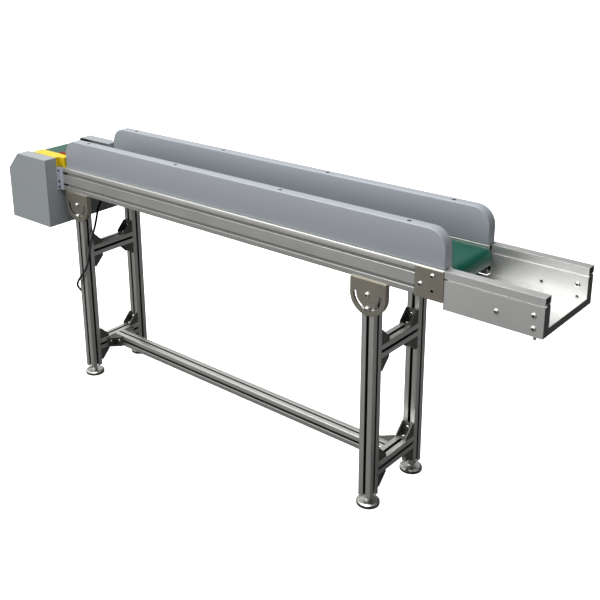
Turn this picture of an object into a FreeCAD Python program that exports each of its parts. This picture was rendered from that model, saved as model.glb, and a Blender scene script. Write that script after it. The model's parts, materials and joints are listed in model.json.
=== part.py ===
import FreeCAD, Part

import math
import os
import re

# Belt conveyor section on a T-slot aluminium stand.
#
# Everything is modelled about the conveyor's own datum: X runs along the belt from the
# drive end of the side rails (X = 0) to the discharge tray, Y = 0 is the belt's centre
# plane and Z = 0 is the floor.  Each finished sub-part is then shifted by origin_x and
# origin_y, so that the part's origin is the middle of its footprint on the floor.

DIMS = {
    # frame
    "origin_x": -749, "origin_y": 24,
    # T-slot profile: side of one cell, slot mouth, lip and cavity, core bore
    "cell": 40, "slot_mouth": 8.4, "slot_lip": 4.5, "slot_wide": 20, "slot_narrow": 9,
    "slot_depth": 12.3, "core_bore": 6.8,
    # stand
    "stand_width": 260, "drive_post_x": 70, "discharge_post_x": 1256, "post_base": 30,
    "post_top": 674, "lower_bar_z": 107, "upper_bar_z": 466,
    "gusset_leg": 40, "gusset_width": 36, "gusset_plate": 5, "gusset_tip": 9,
    "gusset_rib": 4, "gusset_hole": 23,
    # feet
    "foot_radius": 33, "foot_rise": 13, "foot_skirt": 9, "foot_bevel": 5, "boss_wall": 4,
    "boss_height": 5, "spindle_radius": 5, "spindle_length": 75, "nut_across": 17,
    "nut_height": 6, "nut_gap": 2,
    # deck
    "rail_length": 1470, "rail_base": 680, "bed_top": 753, "bed_sheet": 2.5,
    "bed_start": 20, "bed_end": 1425, "bed_flange": 24, "tie_first": 150, "tie_pitch": 380,
    "tie_lift": 2, "tie_width": 30, "tie_height": 8, "strip_start": 24, "strip_end": 1388,
    "strip_sink": 1, "strip_thick": 3, "strip_height": 8.2,
    # side guards
    "guard_start": 16, "guard_end": 1469, "guard_height": 97, "guard_inset": 7,
    "guard_thick": 33, "guard_round": 50, "guard_sheet": 1.5, "guard_hole": 6,
    "guard_hole_first": 107, "guard_hole_pitch": 411, "guard_head_height": 2.4,
    "guard_head_sunk": 0.4, "guard_socket": 2.9, "guard_socket_deep": 1.4,
    # belt, drum and tail roller
    "belt_half": 88, "belt_thick": 2, "running_gap": 0.3, "tail_x": 1457, "tail_z": 726.7,
    "tail_radius": 26, "drum_x": -196, "drum_z": 741.3, "drum_radius": 30,
    "drum_half": 90, "drum_shaft": 8, "bearing_radius": 13, "tail_shaft_radius": 7.5,
    "roller_half": 88, "roller_wall": 3, "roller_bearing": 11, "block_start": 1440,
    "block_end": 1469, "notch_start": 1425, "notch_half": 15, "notch_deep": 28,
    # stainless plates at the tail
    "tail_plate_side": 80, "tail_plate_thick": 3, "tail_plate_start": 1392,
    "tail_plate_base": 677, "plate_bolt_x": 50, "plate_screw_x": 17, "plate_screw_z": 35,
    "blind_deep": 12,
    # half-round pivot plates
    "plate_half": 55, "plate_thick": 4, "plate_rim": 18, "rim_thick": 3, "plate_flange": 5,
    "round_z": 636, "pivot_z": 640, "lock_drop": 40, "arc_width": 8.6, "rim_gap": 25,
    "flange_screw_x": 40,
    # head cover and what it holds
    "head_start": -229, "head_end": -16, "head_near": -188, "head_far": 137,
    "head_base": 555, "head_top": 793, "chamfer_x": 57, "chamfer_z": 60, "head_sheet": 2,
    "notch_near": -142, "notch_far": 92, "notch_drop": 22, "side_plate": 8,
    "side_plate_y": 98, "plate_margin": 4, "eye_wall": 1.5, "shaft_fit": 0.05,
    "angle_thick": 3, "angle_flange": 14, "angle_end": 2, "angle_screw_y": 8,
    "angle_screw": 3.2, "angle_head": 2, "angle_socket": 1.6,
    "cover_start": -146, "cover_end": 9, "cover_outer": 126, "cover_inner": 98,
    "cover_top": 794, "seal_start": -50, "seal_width": 8, "seal_top": 800, "seal_height": 15,
    "motor_x": -112, "motor_z": 640, "motor_radius": 39, "motor_shaft": 6,
    "motor_shaft_length": 56, "motor_length": 150, "terminal_half": 22, "terminal_near": -40,
    "terminal_far": 20, "terminal_low": 50, "terminal_high": 30, "gearbox_half": 40,
    "gearbox_near": -126, "gearbox_far": -70, "shelf_half": 48, "shelf_thick": 4,
    "shelf_drop": 44, "shelf_rise": 20, "shelf_bore": 9, "tongue_low": 4, "tongue_high": 10,
    "pulley_y": -164, "pulley_width": 16, "drum_pulley_radius": 11,
    "motor_pulley_radius": 15, "timing_thick": 3,
    # discharge tray
    "tray_start": 1472, "tray_length": 255, "tray_base": 660, "tray_wall": 28,
    "tray_height": 100, "tray_floor": 20, "bar_height": 19, "bar_wall": 2.5, "groove": 4,
    "groove_deep": 8, "cap_start": 6, "cap_end": 0.5, "tray_screw_length": 8,
    "stud_x": 231, "stud_y": -118, "stud_length": 24, "stud_drop": 11, "drain_x": 196,
    "drain_y": 72, "drain_radius": 2, "tongue_reach": 66, "tongue_thick": 3,
    "tongue_half": 88,
    # screws: M8 button heads, M5 guard screws
    "screw_radius": 4, "head_radius": 7, "head_height": 4.4, "socket_radius": 2.9,
    "socket_deep": 2.6, "washer_radius": 8.5, "washer_thick": 1.6, "tnut_side": 13,
    "tnut_thick": 4, "hole_fit": 0.2, "thread_bite": 3,
    # mains lead
    "lead_radius": 4, "gland_hexagon": 11, "gland_nut": 8, "gland_dome": 9,
    "dome_height": 6, "gland_sleeve": 2, "gland_reach": 24, "hank_length": 125,
    "hank_width": 56, "hank_height": 33, "relief_length": 24, "relief_radius": 5,
    "relief_lift": 0.2, "plug_length": 40, "plug_width": 26, "plug_height": 16,
    "plug_side": 14, "pin_radius": 2.4, "pin_length": 19, "pin_apart": 9.5,
}

V = FreeCAD.Vector
UP = FreeCAD.Rotation()
SEAT = {
    "+x": FreeCAD.Rotation(V(0, 1, 0), 90),
    "-x": FreeCAD.Rotation(V(0, 1, 0), -90),
    "+y": FreeCAD.Rotation(V(1, 0, 0), -90),
    "-y": FreeCAD.Rotation(V(1, 0, 0), 90),
    "+z": UP,
    "-z": FreeCAD.Rotation(V(1, 0, 0), 180),
}
ALONG_X = FreeCAD.Rotation(V(0, 1, 0), V(0, 0, 1), V(1, 0, 0), "XYZ")
ALONG_Y = FreeCAD.Rotation(V(0, 0, 1), V(1, 0, 0), V(0, 1, 0), "XYZ")

doc = FreeCAD.newDocument("belt_conveyor_section")
sheet = doc.addObject("Spreadsheet::Sheet", "dims")
for row, (word, number) in enumerate(DIMS.items(), start=1):
    sheet.set(f"A{row}", word)
    sheet.set(f"B{row}", str(number))
    sheet.setAlias(f"B{row}", word)
doc.recompute()

WORDS = re.compile(r"\b(" + "|".join(sorted(DIMS, key=len, reverse=True)) + r")\b")
nodes = {}


# ---------------------------------------------------------------- small helpers

def bind(item, prop, text):
    """Drive a property from the sheet: every sheet word in the text becomes a cell."""
    item.setExpression(prop, WORDS.sub(r"dims.\g<0>", str(text)))


def place(item, at=(0, 0, 0), turn=UP):
    """Turn an object, then hold its base at three expressions."""
    item.Placement = FreeCAD.Placement(V(), turn)
    for axis, text in zip("xyz", at):
        bind(item, "Placement.Base." + axis, text)
    return item


def box(size, at=(0, 0, 0), turn=UP):
    """A block of the given size, from its corner."""
    item = doc.addObject("Part::Box", "block")
    for prop, text in zip(("Length", "Width", "Height"), size):
        bind(item, prop, text)
    return place(item, at, turn)


def span(low, high):
    """A block between two corners, each given as three expressions."""
    size = [f"({b}) - ({a})" for a, b in zip(low, high)]
    return box(size, low)


def rod(radius, length, at=(0, 0, 0), turn=UP, sweep=360):
    """A cylinder that rises from its base along its own Z."""
    item = doc.addObject("Part::Cylinder", "rod")
    bind(item, "Radius", radius)
    bind(item, "Height", length)
    bind(item, "Angle", sweep)
    return place(item, at, turn)


def hexagon(radius, length, at=(0, 0, 0), turn=UP):
    """A six-sided prism of the given corner radius."""
    item = doc.addObject("Part::Prism", "hexagon")
    item.Polygon = 6
    bind(item, "Circumradius", radius)
    bind(item, "Height", length)
    return place(item, at, turn)


def wedge(foot, head, rise, depth, at=(0, 0, 0), turn=UP):
    """A prism whose X range is foot at Y = 0 and head at Y = rise, with Z over depth."""
    item = doc.addObject("Part::Wedge", "wedge")
    ranges = {"Xmin": foot[0], "Xmax": foot[1], "X2min": head[0], "X2max": head[1],
              "Ymin": rise[0], "Ymax": rise[1], "Zmin": depth[0], "Zmax": depth[1],
              "Z2min": depth[0], "Z2max": depth[1]}
    for prop, text in ranges.items():
        bind(item, prop, text)
    return place(item, at, turn)


def ball(radius, at):
    """A sphere about a point."""
    item = doc.addObject("Part::Sphere", "ball")
    bind(item, "Radius", radius)
    return place(item, at)


def join(*pieces):
    """One solid from pieces that touch or overlap."""
    item = doc.addObject("Part::MultiFuse", "join")
    item.Shapes = list(pieces)
    item.Refine = True
    return item


def group(*pieces):
    """Separate solids that share one object."""
    item = doc.addObject("Part::Compound", "group")
    item.Links = list(pieces)
    return item


def cut(base, *tools):
    """The base with the tools taken away."""
    item = doc.addObject("Part::Cut", "cut")
    item.Base = base
    item.Tool = tools[0] if len(tools) == 1 else group(*tools)
    return item


def shared(base, tool):
    """What two solids have in common."""
    item = doc.addObject("Part::Common", "shared")
    item.Base = base
    item.Tool = tool
    return item


def across(item):
    """The same piece on the far side of the centre plane."""
    twin = doc.addObject("Part::Mirroring", "across")
    twin.Source = item
    twin.Normal = V(0, 1, 0)
    return twin


def copy_of(item, at, turn=UP):
    """Another of the same piece, at its own place."""
    twin = doc.addObject("App::Link", "copy")
    twin.LinkedObject = item
    return place(twin, at, turn)


def node(label, *pieces, at=(0, 0, 0), turn=UP):
    """Name a finished sub-part and move it from the conveyor's datum to the part's origin."""
    item = group(*pieces)
    item.Label = label
    shifted = (f"({at[0]}) + origin_x", f"({at[1]}) + origin_y", at[2])
    place(item, shifted, turn)
    nodes[label] = item


# ---------------------------------------------------------------- shared hardware

def button_screw(length, washer=False, nut_at=None):
    """A button-head screw: seat at Z = 0, domed head above it, shank below.

    The dome is a cylinder trimmed by a sphere through the head's rim.  A washer lifts
    the head, and nut_at sets a square T-nut on the shank at that depth.
    """
    lift = "washer_thick" if washer else "0"
    dome_radius = "(head_radius^2 + head_height^2) / (2 * head_height) + 1"
    blank = rod("head_radius", "head_height", (0, 0, lift))
    dome = shared(blank, ball(dome_radius, (0, 0, f"{lift} + head_height - ({dome_radius})")))
    socket = hexagon("socket_radius", "socket_deep + 1",
                     (0, 0, f"{lift} + head_height - socket_deep"))
    pieces = [cut(join(dome, rod("screw_radius", f"{length} + {lift}", (0, 0, f"-({length})"))),
                  socket)]
    if washer:
        pieces.append(cut(rod("washer_radius", "washer_thick"),
                          rod("screw_radius + 0.1", "washer_thick")))
    if nut_at is not None:
        low = f"-({nut_at}) - tnut_thick"
        blank = box(("tnut_side", "tnut_side", "tnut_thick"),
                    ("-tnut_side / 2", "-tnut_side / 2", low))
        pieces.append(cut(blank, rod("screw_radius", "tnut_thick + 2", (0, 0, f"{low} - 1"))))
    return pieces[0] if len(pieces) == 1 else group(*pieces)


def slot_tool(length, centre, quarter):
    """What a T-slot takes out of a profile: a mouth, then a cavity that narrows inwards.

    The slot opens on the face at -Y of its cell; quarter turns it to the other faces.
    """
    face = "cell / 2"
    mouth = box(("slot_mouth", "slot_lip + 1", length),
                ("-slot_mouth / 2", f"-{face} - 1", 0))
    cavity = wedge(("-slot_wide / 2", "slot_wide / 2"), ("-slot_narrow / 2", "slot_narrow / 2"),
                   (f"-{face} + slot_lip", f"-{face} + slot_depth"), (0, length))
    tool = join(mouth, cavity)
    return place(tool, centre, FreeCAD.Rotation(V(0, 0, 1), 90 * quarter))


def profile(length, tall=1):
    """A length of T-slot profile along Z, one cell wide in X and tall cells in Y."""
    bar = box(("cell", f"{tall} * cell", length), ("-cell / 2", f"-{tall} * cell / 2", 0))
    tools = []
    for index in range(tall):
        centre = (0, f"({index} - ({tall} - 1) / 2) * cell", 0)
        tools.append(rod("core_bore / 2", length, centre))
        sides = [1, 3]
        if index == 0:
            sides.append(0)
        if index == tall - 1:
            sides.append(2)
        for quarter in sides:
            tools.append(slot_tool(length, centre, quarter))
    return cut(bar, *tools)


# ---------------------------------------------------------------- stand

ENDS = {"drive": "drive_post_x", "discharge": "discharge_post_x"}
POST_Y = "(stand_width / 2 - cell / 2)"
SIDES = {"near": -1, "far": 1}


def posts():
    """Four upright profiles, each with a bore in its foot for the levelling spindle."""
    for end, x in ENDS.items():
        for side, sign in SIDES.items():
            bar = cut(profile("post_top - post_base"),
                      rod("spindle_radius + 0.1", "spindle_length + 10", (0, 0, 0)))
            node(f"post_{end}_{side}", bar, at=(x, f"{sign} * {POST_Y}", "post_base"))


def crossbars():
    """An upper and a lower profile between the posts of each leg frame."""
    reach = "stand_width - 2 * cell"
    for end, x in ENDS.items():
        for level in ("upper", "lower"):
            node(f"{level}_crossbar_{end}", profile(reach),
                 at=(x, f"-({reach}) / 2", f"{level}_bar_z"), turn=ALONG_Y)


def stretcher():
    """One long profile between the two lower crossbars."""
    reach = "discharge_post_x - drive_post_x - cell"
    node("stretcher", profile(reach), at=("drive_post_x + cell / 2", 0, "lower_bar_z"),
         turn=ALONG_X)


def gusset():
    """A cast corner bracket: two drilled legs along +X and +Y and a rib at each side."""
    half = "gusset_width / 2"
    bottom = span((0, 0, f"-{half}"), ("gusset_leg", "gusset_plate", half))
    upright = span((0, 0, f"-{half}"), ("gusset_plate", "gusset_leg", half))
    pieces = [bottom, upright]
    for low in (f"-{half}", f"{half} - gusset_rib"):
        pieces.append(span((0, 0, low), ("gusset_leg", "gusset_tip", f"{low} + gusset_rib")))
        pieces.append(wedge((0, "gusset_leg"), (0, "gusset_tip"), ("gusset_tip", "gusset_leg"),
                            (low, f"{low} + gusset_rib")))
    holes = [rod("screw_radius + hole_fit", "gusset_plate + 2", ("gusset_hole", -1, 0), SEAT["+y"]),
             rod("screw_radius + hole_fit", "gusset_plate + 2", (-1, "gusset_hole", 0), SEAT["+x"])]
    return cut(join(*pieces), *holes)


def seat_gusset(casting, screw, corner, first, second):
    """One bracket and its two screws: legs along two unit directions from a corner."""
    one = V(*first)
    two = V(*second)
    turn = FreeCAD.Rotation(one, two, one.cross(two), "XYZ")
    screws = []
    for along, normal in ((one, two), (two, one)):
        at = [f"{c} + ({a}) * gusset_hole + ({n}) * gusset_plate"
              for c, a, n in zip(corner, along, normal)]
        screws.append(copy_of(screw, at, FreeCAD.Rotation(V(0, 0, 1), normal)))
    return copy_of(casting, corner, turn), screws


def brackets():
    """Brackets above and below every crossbar end, and beside both stretcher ends."""
    casting = gusset()
    screw = button_screw("gusset_plate + slot_lip + thread_bite + 1")
    bar_castings = []
    side_castings = []
    screws = []
    for x in ENDS.values():
        for level in ("upper_bar_z", "lower_bar_z"):
            for sign in SIDES.values():
                for rise in (1, -1):
                    corner = (x, f"{sign} * (stand_width / 2 - cell)",
                              f"{level} + {rise} * cell / 2")
                    piece, pair = seat_gusset(casting, screw, corner,
                                              (0, -sign, 0), (0, 0, rise))
                    bar_castings.append(piece)
                    screws += pair
    for x, inward in (("drive_post_x", 1), ("discharge_post_x", -1)):
        for sign in SIDES.values():
            corner = (f"{x} + {inward} * cell / 2", f"{sign} * cell / 2", "lower_bar_z")
            piece, pair = seat_gusset(casting, screw, corner, (inward, 0, 0), (0, sign, 0))
            side_castings.append(piece)
            screws += pair
    node("crossbar_brackets", *bar_castings)
    node("stretcher_brackets", *side_castings)
    node("bracket_screws", *screws)


def feet():
    """Levelling feet: a stepped steel disc on a spindle, with a lock nut under the post."""
    for end, x in ENDS.items():
        for side, sign in SIDES.items():
            skirt = rod("foot_radius", "foot_skirt")
            dome = doc.addObject("Part::Cone", "dome")
            bind(dome, "Radius1", "foot_radius")
            bind(dome, "Radius2", "foot_radius - foot_bevel")
            bind(dome, "Height", "foot_rise - foot_skirt")
            place(dome, (0, 0, "foot_skirt"))
            spindle = rod("spindle_radius", "spindle_length", (0, 0, "foot_rise"))
            nut = hexagon("nut_across / sqrt(3)", "nut_height",
                          (0, 0, "post_base - nut_height - nut_gap"))
            boss = rod("spindle_radius + boss_wall", "boss_height", (0, 0, "foot_rise"))
            node(f"foot_{end}_{side}", join(skirt, dome, boss, spindle, nut),
                 at=(x, f"{sign} * {POST_Y}", 0))


# ---------------------------------------------------------------- deck

def rails():
    """Two tall profiles, notched at the tail for the roller's sliding blocks."""
    for side, sign in SIDES.items():
        bar = place(profile("rail_length", 2), (0, f"{sign} * {POST_Y}", "rail_base + cell"),
                    ALONG_X)
        face = "(stand_width / 2 - cell)"
        low, high = (f"-{face} - notch_deep", f"-{face}") if sign < 0 else \
                    (face, f"{face} + notch_deep")
        notch = span(("notch_start", low, "tail_z - notch_half"),
                     ("rail_length + 1", high, "tail_z + notch_half"))
        blind = rod("screw_radius + 0.1", "blind_deep",
                    ("tail_plate_start + plate_screw_x", f"{sign} * stand_width / 2",
                     "tail_plate_base + plate_screw_z"), SEAT["+y" if sign < 0 else "-y"])
        node(f"rail_{side}", cut(bar, notch, blind))


def slot_strips():
    """Grey cover strips pressed into the four outer slots of the rails."""
    strips = []
    for row in (0.5, 1.5):
        z = f"rail_base + {row} * cell"
        for low in ("-stand_width / 2 + strip_sink",
                    "stand_width / 2 - strip_sink - strip_thick"):
            strips.append(span(("strip_start", low, f"{z} - strip_height / 2"),
                               ("strip_end", f"{low} + strip_thick", f"{z} + strip_height / 2")))
    node("slot_strips", *strips)


def slider_bed():
    """A folded sheet between the rails that carries the belt's upper run."""
    half = "(stand_width / 2 - cell)"
    outer = span(("bed_start", f"-{half}", "bed_top - bed_flange"),
                 ("bed_end", half, "bed_top"))
    inner = span(("bed_start - 1", f"-{half} + bed_sheet", "bed_top - bed_flange - 1"),
                 ("bed_end + 1", f"{half} - bed_sheet", "bed_top - bed_sheet"))
    node("slider_bed", cut(outer, inner))


def cross_ties():
    """Flat bars that hold the rails apart, below the belt's return run."""
    half = "(stand_width / 2 - cell)"
    ties = []
    for step in range(4):
        x = f"tie_first + {step} * tie_pitch"
        ties.append(span((x, f"-{half}", "rail_base + tie_lift"),
                         (f"{x} + tie_width", half, "rail_base + tie_lift + tie_height")))
    node("cross_ties", *ties)


def rounded_wall(grow, thick, low_y, base):
    """A long wall on edge with both top corners rounded; grow is inset from the outline."""
    start = f"guard_start + {grow}"
    end = f"guard_end - {grow}"
    top = f"rail_base + 2 * cell + guard_height - {grow}"
    radius = f"guard_round - {grow}"
    body = span((start, low_y, base), (end, f"{low_y} + {thick}", f"{top} - ({radius})"))
    crown = span((f"{start} + {radius}", low_y, base),
                 (f"{end} - ({radius})", f"{low_y} + {thick}", top))
    corners = [rod(radius, thick, (x, f"{low_y} + {thick}", f"{top} - ({radius})"),
                   SEAT["-y"], 180)
               for x in (f"{start} + {radius}", f"{end} - ({radius})")]
    return join(body, crown, *corners)


def guards():
    """Folded sheet side guards, hollow and open below, with four screw holes on top."""
    base = "rail_base + 2 * cell"
    outer_y = "-stand_width / 2 + guard_inset"
    shell = rounded_wall("0", "guard_thick", outer_y, base)
    hollow = rounded_wall("guard_sheet", "guard_thick - 2 * guard_sheet",
                          f"{outer_y} + guard_sheet", f"{base} - 1")
    middle = f"({outer_y} + guard_thick / 2)"
    holes = []
    heads = []
    top = f"{base} + guard_height"
    for step in range(4):
        x = f"guard_start + guard_hole_first + {step} * guard_hole_pitch"
        holes.append(rod("guard_hole", 6, (x, middle, f"{top} - 3")))
        crown = f"{top} - guard_head_sunk"
        for sign in (1, -1):
            head = rod("guard_hole - 0.1", "guard_head_height",
                       (x, f"{sign} * {middle}", f"{crown} - guard_head_height"))
            socket = hexagon("guard_socket", "guard_socket_deep + 1",
                             (x, f"{sign} * {middle}", f"{crown} - guard_socket_deep"))
            heads.append(cut(head, socket))
    guard = cut(shell, hollow, *holes)
    node("guard_near", guard)
    node("guard_far", across(guard))
    node("guard_screws", *heads)


def belt_loop():
    """The endless belt: two wraps joined by straight runs, climbing a little to the drum."""
    inner = {"tail": DIMS["tail_radius"] + DIMS["running_gap"],
             "drum": DIMS["drum_radius"] + DIMS["running_gap"]}
    tail = V(DIMS["tail_x"], 0, DIMS["tail_z"])
    drum = V(DIMS["drum_x"], 0, DIMS["drum_z"])
    crest = V(DIMS["bed_start"], 0, DIMS["bed_top"] + DIMS["running_gap"])

    def outline(extra):
        """The loop's section, grown by extra: tangent points and arcs, as a closed face."""
        r_tail = inner["tail"] + extra
        r_drum = inner["drum"] + extra
        bend = crest + V(0, 0, extra)
        reach = bend - drum
        slope = math.atan2(reach.z, reach.x) - math.asin(r_drum / reach.Length)
        leave = drum + V(-math.sin(slope), 0, math.cos(slope)) * r_drum
        over = tail + V(0, 0, r_tail)
        under = drum - tail
        tilt = math.asin((r_tail - r_drum) / under.Length)
        heading = math.atan2(under.z, under.x) - tilt
        side = V(-math.sin(heading), 0, math.cos(heading))
        low_tail = tail + side * r_tail
        low_drum = drum + side * r_drum
        edges = [Part.LineSegment(leave, bend).toShape(),
                 Part.LineSegment(bend, over).toShape(),
                 Part.Arc(over, tail + V(r_tail, 0, 0), low_tail).toShape(),
                 Part.LineSegment(low_tail, low_drum).toShape(),
                 Part.Arc(low_drum, drum - V(r_drum, 0, 0), leave).toShape()]
        return Part.Face(Part.Wire(edges))

    width = 2 * DIMS["belt_half"]
    solid = outline(DIMS["belt_thick"]).cut(outline(0)).extrude(V(0, width, 0))
    solid.translate(V(0, -DIMS["belt_half"], 0))
    item = doc.addObject("Part::Feature", "belt")
    item.Shape = solid
    node("conveyor_belt", item)


def tail_end():
    """Tail roller on a fixed shaft, held by sliding blocks in the rail ends."""
    tube = cut(rod("tail_radius", "2 * roller_half", (0, "-roller_half", 0), SEAT["+y"]),
               rod("tail_radius - roller_wall", "2 * roller_half", (0, "-roller_half", 0),
                   SEAT["+y"]))
    node("tail_roller", tube, at=("tail_x", 0, "tail_z"))
    shaft_half = "(stand_width / 2 - cell + notch_deep - 2)"
    node("tail_shaft", rod("tail_shaft_radius", f"2 * {shaft_half}", (0, f"-{shaft_half}", 0),
                           SEAT["+y"]), at=("tail_x", 0, "tail_z"))
    rings = []
    for low in ("-roller_half + 1", "roller_half - roller_bearing - 1"):
        at = ("tail_x", low, "tail_z")
        ring = cut(rod("tail_radius - roller_wall - shaft_fit", "roller_bearing", at, SEAT["+y"]),
                   rod("tail_shaft_radius + shaft_fit", "roller_bearing", at, SEAT["+y"]))
        rings.append(ring)
    node("tail_bearings", *rings)
    blocks = []
    for sign in SIDES.values():
        face = "(stand_width / 2 - cell)"
        low = f"-{face} - notch_deep + 1" if sign < 0 else face
        block = span(("block_start", low, "tail_z - notch_half + 0.2"),
                     ("block_end", f"{low} + notch_deep - 1", "tail_z + notch_half - 0.2"))
        bore = rod("tail_shaft_radius", f"2 * {shaft_half}",
                   ("tail_x", f"-{shaft_half}", "tail_z"), SEAT["+y"])
        blocks.append(cut(block, bore))
    node("tension_blocks", *blocks)


def tail_plates():
    """Square stainless plates over the joint of rail and tray, with one spare hole each."""
    top = "(tail_plate_base + tail_plate_side)"
    plates = []
    screws = []
    spots = (("tail_plate_start + plate_bolt_x", "rail_base + 1.5 * cell"),
             ("tail_plate_start + plate_screw_x", "tail_plate_base + plate_screw_z"))
    spare = ("tail_plate_start + plate_bolt_x", "rail_base + 0.5 * cell")
    screw = button_screw("tail_plate_thick + slot_lip + thread_bite")
    for sign in SIDES.values():
        low = "-stand_width / 2 - tail_plate_thick" if sign < 0 else "stand_width / 2"
        plate = span(("tail_plate_start", low, "tail_plate_base"),
                     ("tail_plate_start + tail_plate_side", f"{low} + tail_plate_thick", top))
        holes = [rod("screw_radius + hole_fit", "tail_plate_thick + 2", (x, f"{low} - 1", z),
                     SEAT["+y"]) for x, z in spots + (spare,)]
        plates.append(cut(plate, *holes))
        outer = f"{sign} * (stand_width / 2 + tail_plate_thick)"
        for x, z in spots:
            screws.append(copy_of(screw, (x, outer, z), SEAT["-y" if sign < 0 else "+y"]))
    node("tail_plates", *plates)
    node("tail_plate_screws", *screws)


# ---------------------------------------------------------------- pivot plates

def half_round(radius, thick, low_y):
    """A plate with straight sides down to a half circle about the round's centre."""
    top = "rail_base - plate_flange"
    block = span((f"-({radius})", low_y, "round_z"), (radius, f"{low_y} + {thick}", top))
    return join(block, rod(radius, thick, (0, low_y, "round_z"), SEAT["+y"], 180))


def pivot_plate():
    """One near-side plate about its pivot at X = 0: face, flange, rim and curved slot."""
    face_y = "-stand_width / 2 - plate_thick"
    face = half_round("plate_half", "plate_thick", face_y)
    flange = span(("-plate_half", face_y, "rail_base - plate_flange"),
                  ("plate_half", "-stand_width / 2 + cell", "rail_base"))
    rim_y = "-stand_width / 2"
    rim = cut(half_round("plate_half", "plate_rim - plate_thick", rim_y),
              half_round("plate_half - rim_thick", "plate_rim", f"{rim_y} - 1"),
              span(("-rim_gap", f"{rim_y} - 1", "round_z - 100"),
                   ("rim_gap", f"{rim_y} + plate_rim", "round_z")))
    outer = "lock_drop + arc_width / 2"
    inner = "lock_drop - arc_width / 2"
    half_turn = FreeCAD.Rotation(V(-1, 0, 0), V(0, 0, -1), V(0, -1, 0), "XYZ")
    arc = cut(rod(outer, "plate_thick + 2", (0, "-stand_width / 2 + 1", "pivot_z"),
                  half_turn, 180),
              rod(inner, "plate_thick + 4", (0, "-stand_width / 2 + 2", "pivot_z"), half_turn))
    ends = [rod("arc_width / 2", "plate_thick + 2",
                (f"{side} * lock_drop", f"{face_y} - 1", "pivot_z"), SEAT["+y"])
            for side in (1, -1)]
    hole = rod("screw_radius + 0.1", "plate_thick + 2", (0, f"{face_y} - 1", "pivot_z"),
               SEAT["+y"])
    seats = [rod("screw_radius + hole_fit", "plate_flange + 2",
                 (f"{side} * flange_screw_x", "-stand_width / 2 + cell / 2",
                  "rail_base - plate_flange - 1")) for side in (1, -1)]
    return cut(join(face, flange, rim), arc, hole, *ends, *seats)


def pivots():
    """Four pivot plates under the rails, their bolts, and the screws up into the rails."""
    near = pivot_plate()
    far = across(near)
    plates = []
    flange_screws = []
    bolt = button_screw("plate_thick + slot_lip + thread_bite + 2", washer=True,
                        nut_at="plate_thick + slot_lip + hole_fit")
    flange_screw = button_screw("plate_flange + slot_lip + thread_bite")
    face = "(stand_width / 2 + plate_thick)"
    for end, x in ENDS.items():
        bolts = []
        for sign in SIDES.values():
            plates.append(copy_of(near if sign < 0 else far, (x, 0, 0)))
            seat = SEAT["-y" if sign < 0 else "+y"]
            for z in ("pivot_z", "pivot_z - lock_drop"):
                bolts.append(copy_of(bolt, (x, f"{sign} * {face}", z), seat))
            for way in (1, -1):
                at = (f"{x} + {way} * flange_screw_x", f"{sign} * {POST_Y}",
                      "rail_base - plate_flange")
                flange_screws.append(copy_of(flange_screw, at, SEAT["-z"]))
        node(f"pivot_bolts_{end}", *bolts)
    node("pivot_plates", *plates)
    node("pivot_flange_screws", *flange_screws)


# ---------------------------------------------------------------- drive head

def head_outline(inset, near, far):
    """The cover's outline: a block with its top edge at the drive end cut off at a slant."""
    start = f"head_start + {inset}"
    top = f"head_top - {inset}"
    block = span((start, near, f"head_base + {inset}"), (f"head_end - {inset}", far, top))
    corner = wedge((-1, "chamfer_x"), (-1, -1), (0, "chamfer_z + chamfer_z / chamfer_x"),
                   (0, f"({far}) - ({near}) + 2"), (start, f"{near} - 1", top),
                   FreeCAD.Rotation(V(1, 0, 0), V(0, 0, -1), V(0, 1, 0), "XYZ"))
    return cut(block, corner)


def head_cover():
    """Folded sheet box round the drive, notched on top for the belt and open at the deck."""
    shell = head_outline("0", "head_near", "head_far")
    hollow = head_outline("head_sheet", "head_near + head_sheet", "head_far - head_sheet")
    belt_way = span(("head_start - 1", "notch_near", "drum_z - notch_drop"),
                    ("head_end + 1", "notch_far", "head_top + 1"))
    mouth = span(("head_end - head_sheet - 1", "-stand_width / 2", "rail_base - 2"),
                 ("head_end + 1", "head_far - head_sheet", "rail_base + 2 * cell + 1"))
    node("head_cover", cut(shell, hollow, belt_way, mouth))


def rail_end_brackets():
    """Angles that tie the cover to the outer face of each rail, three screws in a row."""
    z_low = "rail_base"
    z_high = "rail_base + 2 * cell"
    outer = "stand_width / 2"
    leg = span(("head_end", f"-{outer} - angle_thick", z_low), ("angle_end", f"-{outer}", z_high))
    flange = span(("head_end", f"-{outer} - angle_flange", z_low),
                  ("head_end + angle_thick", f"-{outer}", z_high))
    heads = []
    for drop in (12, 50, 70):
        seat_y = f"-{outer} - angle_screw_y"
        seat_z = f"{z_high} - {drop}"
        head = rod("angle_screw", "angle_head", ("head_end + angle_thick", seat_y, seat_z),
                   SEAT["+x"])
        socket = hexagon("angle_socket", "angle_head",
                         ("head_end + angle_thick + angle_head / 2", seat_y, seat_z), SEAT["+x"])
        heads.append(cut(head, socket))
    node("rail_end_bracket", join(leg, flange))
    node("head_screws", *heads)


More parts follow.
